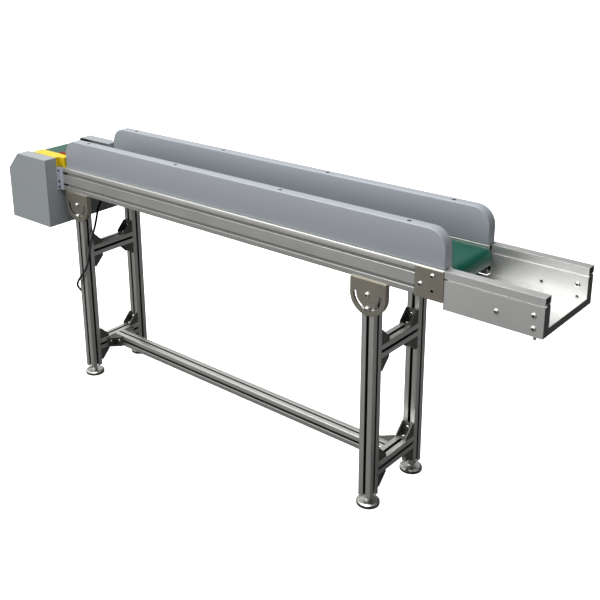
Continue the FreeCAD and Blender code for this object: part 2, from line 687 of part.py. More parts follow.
def head_frame():
    """Two plates bolted to the rail ends that carry the drum, with their bearing rings."""
    low_z = "rail_base + plate_margin"
    high_z = "rail_base + 2 * cell - plate_margin"
    plates = []
    rings = []
    for sign in SIDES.values():
        low = "-side_plate_y - side_plate" if sign < 0 else "side_plate_y"
        axis = ("drum_x", low, "drum_z")
        web = span(("drum_x", low, low_z), (0, f"{low} + side_plate", high_z))
        eye = rod("bearing_radius + eye_wall", "side_plate", axis, SEAT["+y"])
        rail_low = "-stand_width / 2 + 2" if sign < 0 else "stand_width / 2 - cell + 2"
        flange = span(("2 - side_plate", rail_low, low_z), (0, f"{rail_low} + cell - 4", high_z))
        seat = rod("bearing_radius", "side_plate + 2", ("drum_x", f"{low} - 1", "drum_z"),
                   SEAT["+y"])
        plates.append(cut(join(web, eye, flange), seat))
        rings.append(cut(rod("bearing_radius", "side_plate", axis, SEAT["+y"]),
                         rod("drum_shaft + shaft_fit", "side_plate", axis, SEAT["+y"])))
    node("head_plates", *plates)
    node("drum_bearings", *rings)


def drive_parts():
    """Drum, its pulley, the geared motor and the toothed belt between them."""
    drum = join(rod("drum_radius", "2 * drum_half", (0, "-drum_half", 0), SEAT["+y"]),
                rod("drum_shaft", "-pulley_y + pulley_width / 2 + side_plate_y + side_plate",
                    (0, "pulley_y - pulley_width / 2", 0), SEAT["+y"]))
    node("drive_drum", drum, at=("drum_x", 0, "drum_z"))
    low = "pulley_y - pulley_width / 2"
    wheel = cut(rod("drum_pulley_radius", "pulley_width", (0, low, 0), SEAT["+y"]),
                rod("drum_shaft", "pulley_width", (0, low, 0), SEAT["+y"]))
    node("drum_pulley", wheel, at=("drum_x", 0, "drum_z"))
    small = join(rod("motor_pulley_radius", "pulley_width", (0, low, 0), SEAT["+y"]),
                 rod("motor_shaft", "motor_shaft_length", (0, low, 0), SEAT["+y"]))
    node("motor_pulley", small, at=("motor_x", 0, "motor_z"))
    case = span(("motor_x - gearbox_half", "gearbox_near", "motor_z - gearbox_half"),
                ("motor_x + gearbox_half", "gearbox_far", "motor_z + gearbox_half"))
    bore = rod("motor_shaft + shaft_fit", 12, ("motor_x", "gearbox_near - 1", "motor_z"),
               SEAT["+y"])
    node("gearbox", cut(case, bore))
    barrel = rod("motor_radius", "motor_length", ("motor_x", "gearbox_far", "motor_z"),
                 SEAT["+y"])
    terminal = span(("motor_x - terminal_half", "terminal_near", "motor_z - terminal_low"),
                    ("motor_x + terminal_half", "terminal_far", "motor_z - terminal_high"))
    node("motor", join(barrel, terminal))
    shelf = span(("motor_x - shelf_half", "gearbox_near - shelf_thick", "motor_z - shelf_drop"),
                 ("motor_x + shelf_half", "gearbox_near", "rail_base + shelf_rise"))
    web = cut(shelf, rod("shelf_bore", "2 * shelf_thick",
                         ("motor_x", "gearbox_near - shelf_thick - 2", "motor_z"), SEAT["+y"]))
    tongue = span(("motor_x - shelf_half", "gearbox_near", "rail_base + tongue_low"),
                  ("motor_x + shelf_half", "-side_plate_y - side_plate",
                   "rail_base + tongue_high"))
    node("motor_bracket", join(web, tongue))


def timing_belt():
    """A toothed belt's outer form round the two pulleys, from tangent lines and arcs."""
    low = V(DIMS["motor_x"], 0, DIMS["motor_z"])
    high = V(DIMS["drum_x"], 0, DIMS["drum_z"])

    def outline(extra):
        """Both pulleys' circles, grown by extra, with the quadrilateral between tangents."""
        r_low = DIMS["motor_pulley_radius"] + DIMS["running_gap"] + extra
        r_high = DIMS["drum_pulley_radius"] + DIMS["running_gap"] + extra
        run = high - low
        lean = math.asin((r_high - r_low) / run.Length)
        along = math.atan2(run.z, run.x)
        left = along + math.pi / 2 + lean
        right = along - math.pi / 2 - lean
        ray = {name: V(math.cos(angle), 0, math.sin(angle))
               for name, angle in (("left", left), ("right", right), ("far", along),
                                   ("back", along + math.pi))}
        edges = [Part.LineSegment(low + ray["left"] * r_low,
                                  high + ray["left"] * r_high).toShape(),
                 Part.Arc(high + ray["left"] * r_high, high + ray["far"] * r_high,
                          high + ray["right"] * r_high).toShape(),
                 Part.LineSegment(high + ray["right"] * r_high,
                                  low + ray["right"] * r_low).toShape(),
                 Part.Arc(low + ray["right"] * r_low, low + ray["back"] * r_low,
                          low + ray["left"] * r_low).toShape()]
        return Part.Face(Part.Wire(edges))

    width = DIMS["pulley_width"] - 2
    solid = outline(DIMS["timing_thick"]).cut(outline(0)).extrude(V(0, width, 0))
    solid.translate(V(0, DIMS["pulley_y"] - width / 2, 0))
    item = doc.addObject("Part::Feature", "timing")
    item.Shape = solid
    node("timing_belt", item)


def belt_side_cover():
    """Yellow folded cover beside the belt at the drive end, and its red edge seal."""
    low_z = "rail_base + 2 * cell"
    beside = span(("cover_start", "-cover_outer", low_z),
                  ("cover_end", "-cover_inner", "cover_top"))
    filler = span(("cover_start", "notch_near + 1", low_z),
                  ("head_end - 1", "-cover_outer", "cover_top"))
    node("belt_side_cover", join(beside, filler))
    seal = span(("seal_start", "-cover_inner", "seal_top - seal_height"),
                ("cover_end - 1", "-cover_inner + seal_width", "seal_top"))
    node("edge_seal", seal)


# ---------------------------------------------------------------- discharge tray

def tray():
    """A U-shaped chute: two grooved side profiles, a floor with a tongue, and black caps."""
    end = "tray_start + tray_length"
    top = "tray_base + tray_height"
    wall = span(("tray_start", "-stand_width / 2", "tray_base"),
                (end, "-stand_width / 2 + tray_wall", top))
    groove_z = f"{top} - bar_height - groove"
    outer_groove = span(("tray_start - 1", "-stand_width / 2 - 1", groove_z),
                        (f"{end} + 1", "-stand_width / 2 + groove_deep", f"{groove_z} + groove"))
    inner_groove = span(("tray_start - 1", "-stand_width / 2 + tray_wall - groove_deep / 2",
                         groove_z),
                        (f"{end} + 1", "-stand_width / 2 + tray_wall + 1",
                         f"{groove_z} + groove"))
    bore = span(("tray_start - 1", "-stand_width / 2 + bar_wall",
                 f"{top} - bar_height + bar_wall"),
                (f"{end} + 1", "-stand_width / 2 + tray_wall - bar_wall", f"{top} - bar_wall"))
    drills = []
    spots = (("tray_start + 139", "tray_base + 36"), ("tray_start + 230", "tray_base + 52"),
             ("tray_start + 231", "tray_base + 20"))
    for x, z in spots:
        drills.append(rod("screw_radius + 0.1", "tray_wall + 2", (x, "-stand_width / 2 - 1", z),
                          SEAT["+y"]))
    both = cut(wall, outer_groove, inner_groove, bore, *drills)
    stud_at = ("tray_start + stud_x", "stud_y")
    stud_hole = rod("screw_radius + 0.1", "stud_length - stud_drop + 1",
                    (*stud_at, "tray_base - 1"))
    node("tray_wall_near", cut(both, stud_hole))
    node("tray_wall_far", across(both))
    inner = "(stand_width / 2 - tray_wall)"
    floor = span(("tray_start", f"-{inner}", "tray_base"), (end, inner, "tray_base + tray_floor"))
    tongue = span(("tray_start - tongue_reach", "-tongue_half",
                   "tray_base + tray_floor - tongue_thick"),
                  ("tray_start", "tongue_half", "tray_base + tray_floor"))
    drain = rod("drain_radius", "tray_floor + 2", ("tray_start + drain_x", "drain_y",
                                                   "tray_base - 1"))
    node("tray_floor", cut(join(floor, tongue), drain))
    cap = span((f"{end} - cap_start", "-stand_width / 2 + bar_wall",
                f"{top} - bar_height + bar_wall"),
               (f"{end} - cap_end", "-stand_width / 2 + tray_wall - bar_wall",
                f"{top} - bar_wall"))
    node("tray_end_caps", cap, across(cap))
    screws = []
    outer_screw = button_screw("tray_screw_length")
    for x, z in spots:
        for sign in SIDES.values():
            screws.append(copy_of(outer_screw, (x, f"{sign} * stand_width / 2", z),
                                  SEAT["-y" if sign < 0 else "+y"]))
    for sign in SIDES.values():
        screws.append(copy_of(outer_screw, (spots[1][0], f"{sign} * {inner}", spots[1][1]),
                              SEAT["+y" if sign < 0 else "-y"]))
    node("tray_screws", *screws)
    node("tray_stud", rod("screw_radius", "stud_length", (*stud_at, "tray_base - stud_drop")))


# ---------------------------------------------------------------- mains lead

# The lead's corner points, in the conveyor's datum: out of the gland, down beside the
# near drive post, across its outer face, round its edge, down behind it and to the hank.
LEAD = [
    (8, 8, 650), (38, 5, 648), (59, -12, 632), (63, -38, 606), (88, -74, 560),
    (100.5, -99, 532), (100, -116, 487), (99, -127, 437), (93, -142, 403),
    (60, -143, 368), (38, -137, 337), (35, -112, 306), (37, -91, 266), (40, -86, 204),
    (40, -85, 136), (36, -84, 98), (28, -84, 65), (8, -83, 41), (-19.9, -71.1, 28),
    (-43.7, -52.8, 28),
]


def rounded_path(corners):
    """Straight runs joined by tangent arcs, each taking 0.45 of the shorter run beside it."""
    edges = []
    here = corners[0]
    for before, corner, after in zip(corners, corners[1:], corners[2:]):
        back = before - corner
        ahead = after - corner
        trim = 0.45 * min(back.Length, ahead.Length)
        radius = trim / math.tan((math.pi - back.getAngle(ahead)) / 2)
        back.normalize()
        ahead.normalize()
        inward = back + ahead
        inward.normalize()
        middle = corner + inward * (math.hypot(trim, radius) - radius)
        enter = corner + back * trim
        leave = corner + ahead * trim
        edges.append(Part.LineSegment(here, enter).toShape())
        edges.append(Part.Arc(enter, middle, leave).toShape())
        here = leave
    edges.append(Part.LineSegment(here, corners[-1]).toShape())
    return Part.Wire(edges)


def mains_lead():
    """Gland, the lead's free run, its tied hank on the floor and a moulded plug."""
    corners = [V(*point) for point in LEAD]
    path = rounded_path(corners)
    start = corners[1] - corners[0]
    section = Part.Wire(Part.Circle(corners[0], start, DIMS["lead_radius"]).toShape())
    tube = path.makePipeShell([section], True, True)
    if abs(tube.Volume / (math.pi * DIMS["lead_radius"] ** 2 * path.Length) - 1) > 0.02:
        raise RuntimeError("the lead's tube does not match its section times its length")
    item = doc.addObject("Part::Feature", "lead")
    item.Shape = tube
    node("power_cord", item)
    print(f"free run of the lead {path.Length:.1f} mm")

    # the gland's thread goes through the cover; its axis is the lead's first run
    away = start.normalize()
    aim = FreeCAD.Rotation(V(0, 0, 1), start)
    root = corners[0] - away * (corners[0].x - DIMS["head_end"]) * (1 / away.x)
    gland = join(hexagon("gland_hexagon", "gland_nut"),
                 rod("gland_dome", "gland_nut + dome_height"),
                 rod("lead_radius + gland_sleeve", "gland_reach"))
    place(gland, (root.x, root.y, root.z), aim)
    inside = box((20, 80, 100), ("head_end - 20", f"{root.y} - 40", f"{root.z} - 50"))
    node("cable_gland", cut(gland, inside))

    # the hank lies on the floor in line with the lead's last run, which enters its side
    run = corners[-1] - corners[-2]
    run.normalize()
    level = V(0, 0, 1).cross(run)
    lie = FreeCAD.Rotation(run, level, V(0, 0, 1), "XYZ")
    near_end = corners[-1] - level * (DIMS["hank_width"] / 2 - DIMS["lead_radius"])
    low_side = "-hank_width / 2"
    node("cord_hank", box(("hank_length", "hank_width", "hank_height"), (0, low_side, 0)),
         at=(near_end.x, near_end.y, 0), turn=lie)
    far_end = near_end + run * DIMS["hank_length"]
    relief = rod("relief_radius", "relief_length",
                 (0, "plug_side", "relief_radius + relief_lift"), SEAT["+x"])
    body = box(("plug_length", "plug_width", "plug_height"),
               ("relief_length", "plug_side - plug_width / 2", 0))
    pins = [rod("pin_radius", "pin_length",
                ("relief_length + plug_length", f"plug_side + {side} * pin_apart",
                 "plug_height / 2"), SEAT["+x"]) for side in (1, -1)]
    node("power_plug", join(relief, body, *pins), at=(far_end.x, far_end.y, 0), turn=lie)


# ---------------------------------------------------------------- build and write

def build():
    """Make every sub-part, recompute, check each one and write its STEP file."""
    for step in (posts, crossbars, stretcher, brackets, feet, rails, slot_strips, slider_bed,
                 cross_ties, guards, belt_loop, tail_end, tail_plates, pivots, head_cover,
                 rail_end_brackets, head_frame, drive_parts, timing_belt, belt_side_cover,
                 tray, mains_lead):
        step()
    doc.recompute()
    for item in doc.Objects:
        if "Invalid" in item.State or "Error" in item.State:
            raise RuntimeError(f"{item.Name} ({item.Label}) failed: {item.State}")
    for label, item in nodes.items():
        if item.Shape.isNull() or not item.Shape.isValid():
            raise RuntimeError(f"{label} has no valid shape")
    os.makedirs("parts", exist_ok=True)
    for label, item in nodes.items():
        item.Shape.exportStep(f"parts/{label}.step")
        print(f"{label:28s} {len(item.Shape.Solids):3d} solids {item.Shape.Volume:12.0f} mm3")
    print(len(nodes), "nodes")


build()
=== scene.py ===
# %% [markdown]
# # A belt conveyor section, finished around its CAD frame
# The CAD model fixes every size and every joint.  This lesson puts the looks on it: aluminium
# extrusions with real T-slots, folded and painted sheet, a rubbery belt, a mains lead, and
# materials that carry the fine marks of how each piece was made.

import json
import math

import bmesh
import bpy
import numpy as np
from mathutils import Matrix, Vector


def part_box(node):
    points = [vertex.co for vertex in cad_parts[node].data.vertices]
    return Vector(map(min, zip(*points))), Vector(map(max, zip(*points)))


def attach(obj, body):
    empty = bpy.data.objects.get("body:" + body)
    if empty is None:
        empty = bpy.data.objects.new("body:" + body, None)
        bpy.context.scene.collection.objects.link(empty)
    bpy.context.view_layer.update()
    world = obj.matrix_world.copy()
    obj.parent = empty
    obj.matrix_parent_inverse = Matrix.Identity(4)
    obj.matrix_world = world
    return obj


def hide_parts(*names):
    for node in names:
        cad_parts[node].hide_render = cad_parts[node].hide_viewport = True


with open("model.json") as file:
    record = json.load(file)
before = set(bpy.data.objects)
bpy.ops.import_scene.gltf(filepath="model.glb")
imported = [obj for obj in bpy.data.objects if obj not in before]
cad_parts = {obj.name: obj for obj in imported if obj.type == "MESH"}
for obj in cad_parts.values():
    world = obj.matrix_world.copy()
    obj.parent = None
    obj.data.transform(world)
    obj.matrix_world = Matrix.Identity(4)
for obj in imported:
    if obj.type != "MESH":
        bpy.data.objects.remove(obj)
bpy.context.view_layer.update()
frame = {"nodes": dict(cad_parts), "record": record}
MM = 0.001
home = {node: body for body, nodes in frame["record"]["behaviour"]["bodies"].items()
        for node in nodes}
slot_of = {row["node"]: row["material_slot"] for row in frame["record"]["subparts"]}

# %% [markdown]
# ## The conveyor's own datum
# The CAD measures along the belt from the drive end of the side rails, and across from the
# belt's centre plane.  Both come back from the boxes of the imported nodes, so that nothing here
# depends on where the part's origin happens to lie.

# %% Datum


def box(node):
    """The lowest and highest corner of a CAD node, as two arrays."""
    low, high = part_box(node)
    return np.array(low), np.array(high)


rail_low, rail_high = box("rail_near")
start_x = rail_low[0]
centre_y = (rail_low[1] + box("rail_far")[1][1]) / 2


def local(x, y, z):
    """A point in millimetres as metres in the frame: the datum plus x and y, z from the floor."""
    return np.array([start_x + x * MM, centre_y + y * MM, z * MM])


print("datum at", round(start_x, 4), round(centre_y, 4), "rail top", round(rail_high[2], 4))

# %% [markdown]
# ## Fine marks as node groups
# Every finish here varies in the same few ways: long streaks left by drawing or brushing, slow
# blotches of tone, and small specks.  One group makes all three from a vector, and each
# material mixes them by its own amounts.  A second group keeps only the sparse, thin scratches.

# %% Building node groups
NOISE_ROUGHNESS = 0.55


def new_group(name, inputs, outputs):
    """An empty shader group with the named sockets; returns the tree, its input and output."""
    tree = bpy.data.node_groups.new(name, "ShaderNodeTree")
    for socket, kind, value in inputs:
        made = tree.interface.new_socket(socket, in_out="INPUT", socket_type=kind)
        if value is not None:
            made.default_value = value
    for socket in outputs:
        tree.interface.new_socket(socket, in_out="OUTPUT", socket_type="NodeSocketFloat")
    return tree, tree.nodes.new("NodeGroupInput"), tree.nodes.new("NodeGroupOutput")


def feed(tree, socket, value):
    """Set an input to a plain value, or link it to another node's output."""
    if isinstance(value, (int, float, tuple)):
        socket.default_value = value
    else:
        tree.links.new(value, socket)


def maths(tree, operation, *values):
    """A math node fed in order by outputs or plain numbers; returns its value."""
    node = tree.nodes.new("ShaderNodeMath")
    node.operation = operation
    for socket, value in zip(node.inputs, values):
        feed(tree, socket, value)
    return node.outputs[0]


def noise(tree, vector, scale, detail):
    """A noise texture of that scale on a vector socket; returns its value."""
    node = tree.nodes.new("ShaderNodeTexNoise")
    node.inputs["Detail"].default_value = detail
    node.inputs["Roughness"].default_value = NOISE_ROUGHNESS
    tree.links.new(vector, node.inputs["Vector"])
    feed(tree, node.inputs["Scale"], scale)
    return node.outputs["Fac"]


print("node helpers ready, noise roughness", NOISE_ROUGHNESS)

# %% [markdown]
# ## The two groups
# A noise averages one half, which both groups lean on.  Marks are the noise itself.  A scratch
# is where a noise comes close to its mean, because that is a thin winding line, and a second,
# slow noise lets the scratches through only in patches.

# %% Marks and scuffs
MEAN = 0.5
MARK_KINDS = {"Streak": ("Stretched", 60.0, 5.0), "Blotch": ("Vector", 5.0, 2.0),
              "Speck": ("Vector", 900.0, 2.0)}
SCRATCH_SCALE, SCRATCH_WIDTH, SCRATCH_DETAIL = 30.0, 0.006, 2.0
PATCH_SCALE, PATCH_DETAIL, PATCH_ABOVE = 4.0, 1.0, 0.56


def marks_group():
    """Streaks on a stretched vector, blotches and specks on the plain one."""
    scales = [(f"{kind} Scale", "NodeSocketFloat", scale)
              for kind, (way, scale, detail) in MARK_KINDS.items()]
    tree, start, end = new_group(
        "Marks",
        [("Vector", "NodeSocketVector", None), ("Stretched", "NodeSocketVector", None)] + scales,
        list(MARK_KINDS))
    for kind, (way, scale, detail) in MARK_KINDS.items():
        mark = noise(tree, start.outputs[way], start.outputs[f"{kind} Scale"], detail)
        tree.links.new(mark, end.inputs[kind])
    return tree


def scuff_group():
    """Thin scratches: one where a noise is near its mean and the patch noise is high."""
    tree, start, end = new_group(
        "Scuffs",
        [("Vector", "NodeSocketVector", None), ("Scale", "NodeSocketFloat", SCRATCH_SCALE),
         ("Width", "NodeSocketFloat", SCRATCH_WIDTH)],
        ["Mask"])
    raw = noise(tree, start.outputs["Vector"], start.outputs["Scale"], SCRATCH_DETAIL)
    thin = maths(tree, "COMPARE", raw, MEAN, start.outputs["Width"])
    patch = noise(tree, start.outputs["Vector"], PATCH_SCALE, PATCH_DETAIL)
    kept = maths(tree, "GREATER_THAN", patch, PATCH_ABOVE)
    tree.links.new(maths(tree, "MULTIPLY", thin, kept), end.inputs["Mask"])
    return tree


MARKS = marks_group()
SCUFFS = scuff_group()
print("groups:", MARKS.name, SCUFFS.name)

# %% [markdown]
# ## One recipe for every finish
# A finish is a base colour made a little lighter and darker by the marks, a roughness that
# follows them, and a fine bump.  `stretch` says along which way a surface was drawn, brushed
# or rolled: a small number along an axis makes the streaks long that way.

# %% The finish recipe
COAT_ROUGHNESS, BUMP_DISTANCE = 0.12, 0.2 * MM


def weighted(tree, base, terms):
    """base plus each mark less its mean of one half, times its weight, as one socket."""
    terms = [(socket, weight) for socket, weight in terms if weight]
    total = base - MEAN * sum(weight for socket, weight in terms)
    for socket, weight in terms:
        total = maths(tree, "MULTIPLY_ADD", socket, weight, total)
    return total


def found_marks(tree, uv, stretch, scales, scuff):
    """The streak, blotch and speck sockets of a material, and its scratches if it has any."""
    where = tree.nodes.new("ShaderNodeTexCoord").outputs["UV" if uv else "Object"]
    mapping = tree.nodes.new("ShaderNodeMapping")
    mapping.inputs["Scale"].default_value = stretch
    tree.links.new(where, mapping.inputs["Vector"])
    marks = tree.nodes.new("ShaderNodeGroup")
    marks.node_tree = MARKS
    for kind, scale in zip(MARK_KINDS, scales):
        marks.inputs[f"{kind} Scale"].default_value = scale
    tree.links.new(where, marks.inputs["Vector"])
    tree.links.new(mapping.outputs["Vector"], marks.inputs["Stretched"])
    found = [marks.outputs[kind] for kind in MARK_KINDS]
    if scuff:
        thin = tree.nodes.new("ShaderNodeGroup")
        thin.node_tree = SCUFFS
        tree.links.new(mapping.outputs["Vector"], thin.inputs["Vector"])
        found.append(thin.outputs["Mask"])
    return found


def darkened_by_painted_shade(tree, shade, depth):
    """The shade times one less depth times the painted shade stored on the mesh, which may be absent."""
    shade_amount = tree.nodes.new("ShaderNodeAttribute")
    shade_amount.attribute_name = "painted_shade"
    left = maths(tree, "MULTIPLY_ADD", shade_amount.outputs["Fac"], -depth, 1.0)
    return maths(tree, "MULTIPLY", shade, left)


def finish(name, colour, metallic=0.0, rough=0.5, stretch=(1, 1, 1), uv=False,
           scales=(60.0, 5.0, 900.0), tone=(0.1, 0.12, 0.05), gloss=(0.1, 0.06, 0.04),
           bump=(0.0, 0.0, 0.0), scuff=0.0, coat=0.0, painted_shade=0.0):
    """A procedural material; tone, gloss and bump weigh streak, blotch and speck in turn.

    Colour is the base colour times the tone marks, and darker by painted shade where a mesh stores it.
    """
    material = bpy.data.materials.new(name)
    material.use_nodes = True
    tree = material.node_tree
    shader = tree.nodes["Principled BSDF"]
    shader.inputs["Metallic"].default_value = metallic
    shader.inputs["Coat Weight"].default_value = coat
    shader.inputs["Coat Roughness"].default_value = COAT_ROUGHNESS
    found = found_marks(tree, uv, stretch, scales, scuff)
    shade = weighted(tree, 1.0, zip(found, (*tone, scuff)))
    if painted_shade:
        shade = darkened_by_painted_shade(tree, shade, painted_shade)
    tint = tree.nodes.new("ShaderNodeVectorMath")
    tint.operation = "SCALE"
    tint.inputs[0].default_value = colour
    tree.links.new(shade, tint.inputs["Scale"])
    tree.links.new(tint.outputs["Vector"], shader.inputs["Base Color"])
    tree.links.new(weighted(tree, rough, zip(found, gloss)), shader.inputs["Roughness"])
    if any(bump):
        relief = tree.nodes.new("ShaderNodeBump")
        relief.inputs["Strength"].default_value = 1.0
        relief.inputs["Distance"].default_value = BUMP_DISTANCE
        tree.links.new(weighted(tree, MEAN, zip(found, bump)), relief.inputs["Height"])
        tree.links.new(relief.outputs["Normal"], shader.inputs["Normal"])
    return material


print("bump relief", BUMP_DISTANCE, "m")

# %% [markdown]
# ## The finishes
# Clear-anodised aluminium keeps faint die lines along the bar, so its streaks follow the
# extrusion's own UV.  Stainless plates are brushed lengthwise.  Powder coat has a slight orange
# peel, the belt a fine matt grain under its gloss, and cast brackets a tumbled, blotchy skin.

# %% Materials for the record's slots
# The last amount of the extrusion, tray, screw and foot finishes sets how far painted shade darkens them
# where a mesh stores it.
finishes = {
    "anodised_profile": finish(
        "anodised_extrusion", (0.72, 0.72, 0.69), 0.95, 0.34, (90, 0.6, 1), uv=True,
        scales=(3.0, 9.0, 1500.0), tone=(0.10, 0.10, 0.04), gloss=(0.14, 0.08, 0.06),
        bump=(0.16, 0, 0.1), painted_shade=0.92),
    "tray_aluminium": finish(
        "anodised_tray", (0.79, 0.79, 0.775), 0.9, 0.34, (0.6, 60, 60),
        scales=(3.0, 5.0, 1400.0), tone=(0.05, 0.08, 0.03), gloss=(0.05, 0.06, 0.03),
        bump=(0, 0, 0.03), painted_shade=0.8),
    # Milled aluminium: a light bluish base colour with little metal, a painted reflection for the bright
    # sheen of its shaded flange.
    "machined_aluminium": finish(
        "milled_aluminium_painted_sheen", (0.50, 0.53, 0.60), 0.3, 0.38, (1, 30, 30),
        scales=(20.0, 6.0, 900.0), bump=(0.2, 0, 0.1)),
    # Cast brackets: the base colour is kept far darker than the extrusions' aluminium, which paints
    # shade on the brackets.
    "cast_bracket": finish(
        "cast_aluminium_painted_shade", (0.17, 0.167, 0.157), 0.85, 0.46, scales=(40.0, 30.0, 1100.0),
        tone=(0.12, 0.25, 0.15), gloss=(0.1, 0.15, 0.1), bump=(0.1, 0.1, 0.6)),
    "zinc_screw": finish(
        "bright_zinc", (0.78, 0.77, 0.74), 1.0, 0.2, scales=(200.0, 60.0, 1500.0),
        tone=(0.1, 0.1, 0.05), gloss=(0.12, 0.1, 0.05), bump=(0.05, 0, 0.1), painted_shade=0.95),
    "black_screw": finish(
        "black_oxide", (0.012, 0.012, 0.013), 0.0, 0.5, scales=(200.0, 60.0, 1500.0),
        bump=(0.1, 0, 0.2)),
    "foot_steel": finish(
        "zinc_foot", (0.56, 0.56, 0.54), 0.95, 0.27, (1, 1, 40),
        scales=(30.0, 20.0, 1200.0), tone=(0.12, 0.2, 0.08), bump=(0.12, 0, 0.15),
        painted_shade=0.72),
    "strip_grey": finish(
        "grey_strip", (0.135, 0.135, 0.13), 0.0, 0.5, (0.6, 60, 60),
        scales=(6.0, 8.0, 1200.0), bump=(0.1, 0, 0.2)),
    "bed_steel": finish(
        "galvanised_sheet", (0.55, 0.56, 0.57), 0.9, 0.35, scales=(20.0, 45.0, 900.0),
        tone=(0.05, 0.3, 0.06), gloss=(0.05, 0.2, 0.05), bump=(0, 0, 0.15)),
    "guard_paint": finish(
        "guard_powder_coat", (0.268, 0.286, 0.313), 0.0, 0.42, scales=(5.0, 3.0, 520.0),
        tone=(0.03, 0.05, 0.03), gloss=(0.03, 0.06, 0.1), bump=(0, 0, 0.35), coat=0.15),
    "head_paint": finish(
        "cover_powder_coat", (0.255, 0.275, 0.285), 0.0, 0.44, scales=(5.0, 4.0, 520.0),
        tone=(0.03, 0.06, 0.03), gloss=(0.03, 0.06, 0.1), bump=(0, 0, 0.35), coat=0.12),
    "belt_green": finish(
        "green_belt", (0.003, 0.066, 0.042), 0.0, 0.3, (0.5, 6, 1), uv=True,
        scales=(4.0, 3.0, 1400.0), tone=(0.05, 0.12, 0.1), gloss=(0.06, 0.1, 0.08),
        bump=(0, 0, 0.25)),
    "turned_steel": finish(
        "turned_steel", (0.6, 0.6, 0.6), 1.0, 0.28, (1, 120, 1),
        scales=(6.0, 12.0, 1200.0), bump=(0.3, 0, 0.05)),
    "stainless_sheet": finish(
        "brushed_stainless", (0.455, 0.425, 0.355), 1.0, 0.34, (2.5, 90, 90),
        scales=(9.0, 9.0, 1500.0), tone=(0.16, 0.12, 0.05), gloss=(0.2, 0.1, 0.05),
        bump=(0.22, 0, 0.08), scuff=-0.1),
    "yellow_paint": finish(
        "yellow_powder_coat", (0.60, 0.43, 0.004), 0.0, 0.4, scales=(5.0, 8.0, 520.0),
        tone=(0.03, 0.08, 0.03), gloss=(0.03, 0.06, 0.1), bump=(0, 0, 0.35), coat=0.15),
    "seal_red": finish(
        "red_edge_seal", (0.16, 0.008, 0.007), 0.0, 0.5, scales=(20.0, 30.0, 900.0),
        bump=(0.1, 0, 0.3)),
    "drive_rubber": finish(
        "toothed_belt_rubber", (0.016, 0.016, 0.016), 0.0, 0.6, (1, 90, 1),
        scales=(40.0, 30.0, 900.0), bump=(0.3, 0, 0.4)),
    "motor_paint": finish(
        "motor_enamel", (0.035, 0.038, 0.042), 0.0, 0.4, scales=(10.0, 20.0, 700.0),
        bump=(0, 0.1, 0.3), coat=0.2),
    "cap_black": finish(
        "black_cap_plastic", (0.012, 0.012, 0.012), 0.0, 0.45, scales=(30.0, 20.0, 1300.0),
        bump=(0, 0, 0.35)),
    "cord_black": finish(
        "lead_sheath", (0.008, 0.008, 0.009), 0.0, 0.5, scales=(60.0, 30.0, 1500.0),
        tone=(0.1, 0.2, 0.1), bump=(0.1, 0, 0.3)),
}
for node, slot in slot_of.items():
    frame["nodes"][node].data.materials.clear()
    frame["nodes"][node].data.materials.append(finishes[slot])
print(len(finishes), "finishes on", len(slot_of), "nodes")

# %% [markdown]
# ## Making pieces
# A piece starts as stacked closed loops of points, or as a grid.  Both become quads in one
# stroke.  `adopt` gives the piece its finish, hides the CAD node that it stands for, and lets
# it ride on that node's body, so it moves as the CAD says.

# %% Mesh helpers
MERGE_WITHIN = 0.01 * MM


def strip_faces(rows, columns, close_rows=False):
    """Quads between neighbouring rows of a grid whose every row is a closed loop of columns."""
    row = np.arange(rows if close_rows else rows - 1)[:, None]
    column = np.arange(columns)[None, :]
    after_row = (row + 1) % rows
    after_column = (column + 1) % columns
    corners = [row * columns + column, row * columns + after_column,
               after_row * columns + after_column, after_row * columns + column]
    return np.stack(corners, axis=-1).reshape(-1, 4)


def make_mesh(name, points, faces, caps=(), uv=None, sharp=35.0):
    """A mesh from points and faces, smooth but for edges sharper than the given angle."""
    mesh = bpy.data.meshes.new(name)
    mesh.from_pydata(np.asarray(points).reshape(-1, 3).tolist(), [],
                     [list(map(int, f)) for f in faces] + [list(map(int, c)) for c in caps])
    if uv is not None:
        layer = mesh.uv_layers.new(name="UVMap")
        index = np.empty(len(mesh.loops), np.int32)
        mesh.loops.foreach_get("vertex_index", index)
        per_corner = np.asarray(uv, np.float32).reshape(-1, 2)[index]
        layer.data.foreach_set("uv", per_corner.ravel())
    mesh.shade_smooth()
    mesh.set_sharp_from_angle(angle=math.radians(sharp))
    return mesh


def store_painted_shade(mesh, values, domain="POINT"):
    """Store the painted shade of each point or face, from 0 (none) to 1 (darkest)."""
    layer = mesh.attributes.new("painted_shade", "FLOAT", domain)
    layer.data.foreach_set("value", np.asarray(values, np.float32).ravel())
    return mesh


def place(name, mesh, slot, body, *nodes):
    """An object at the origin with its finish, riding on a body, for the nodes it replaces."""
    item = bpy.data.objects.new(name, mesh)
    bpy.context.scene.collection.objects.link(item)
    item.data.materials.clear()
    item.data.materials.append(finishes[slot])
    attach(item, body)
    if nodes:
        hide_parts(*nodes)
    return item


def adopt(name, mesh, node):
    """A piece that stands for one CAD node and takes its finish and its body."""
    return place(name, mesh, slot_of[node], home[node], node)


def loft(name, loops, sharp=35.0, uv=None):
    """A closed mesh over stacked loops (k, n, 3), with both ends capped."""
    count, size = loops.shape[:2]
    first = np.arange(size)[::-1]
    last = np.arange(size) + (count - 1) * size
    return make_mesh(name, loops, strip_faces(count, size), (first, last), uv, sharp)


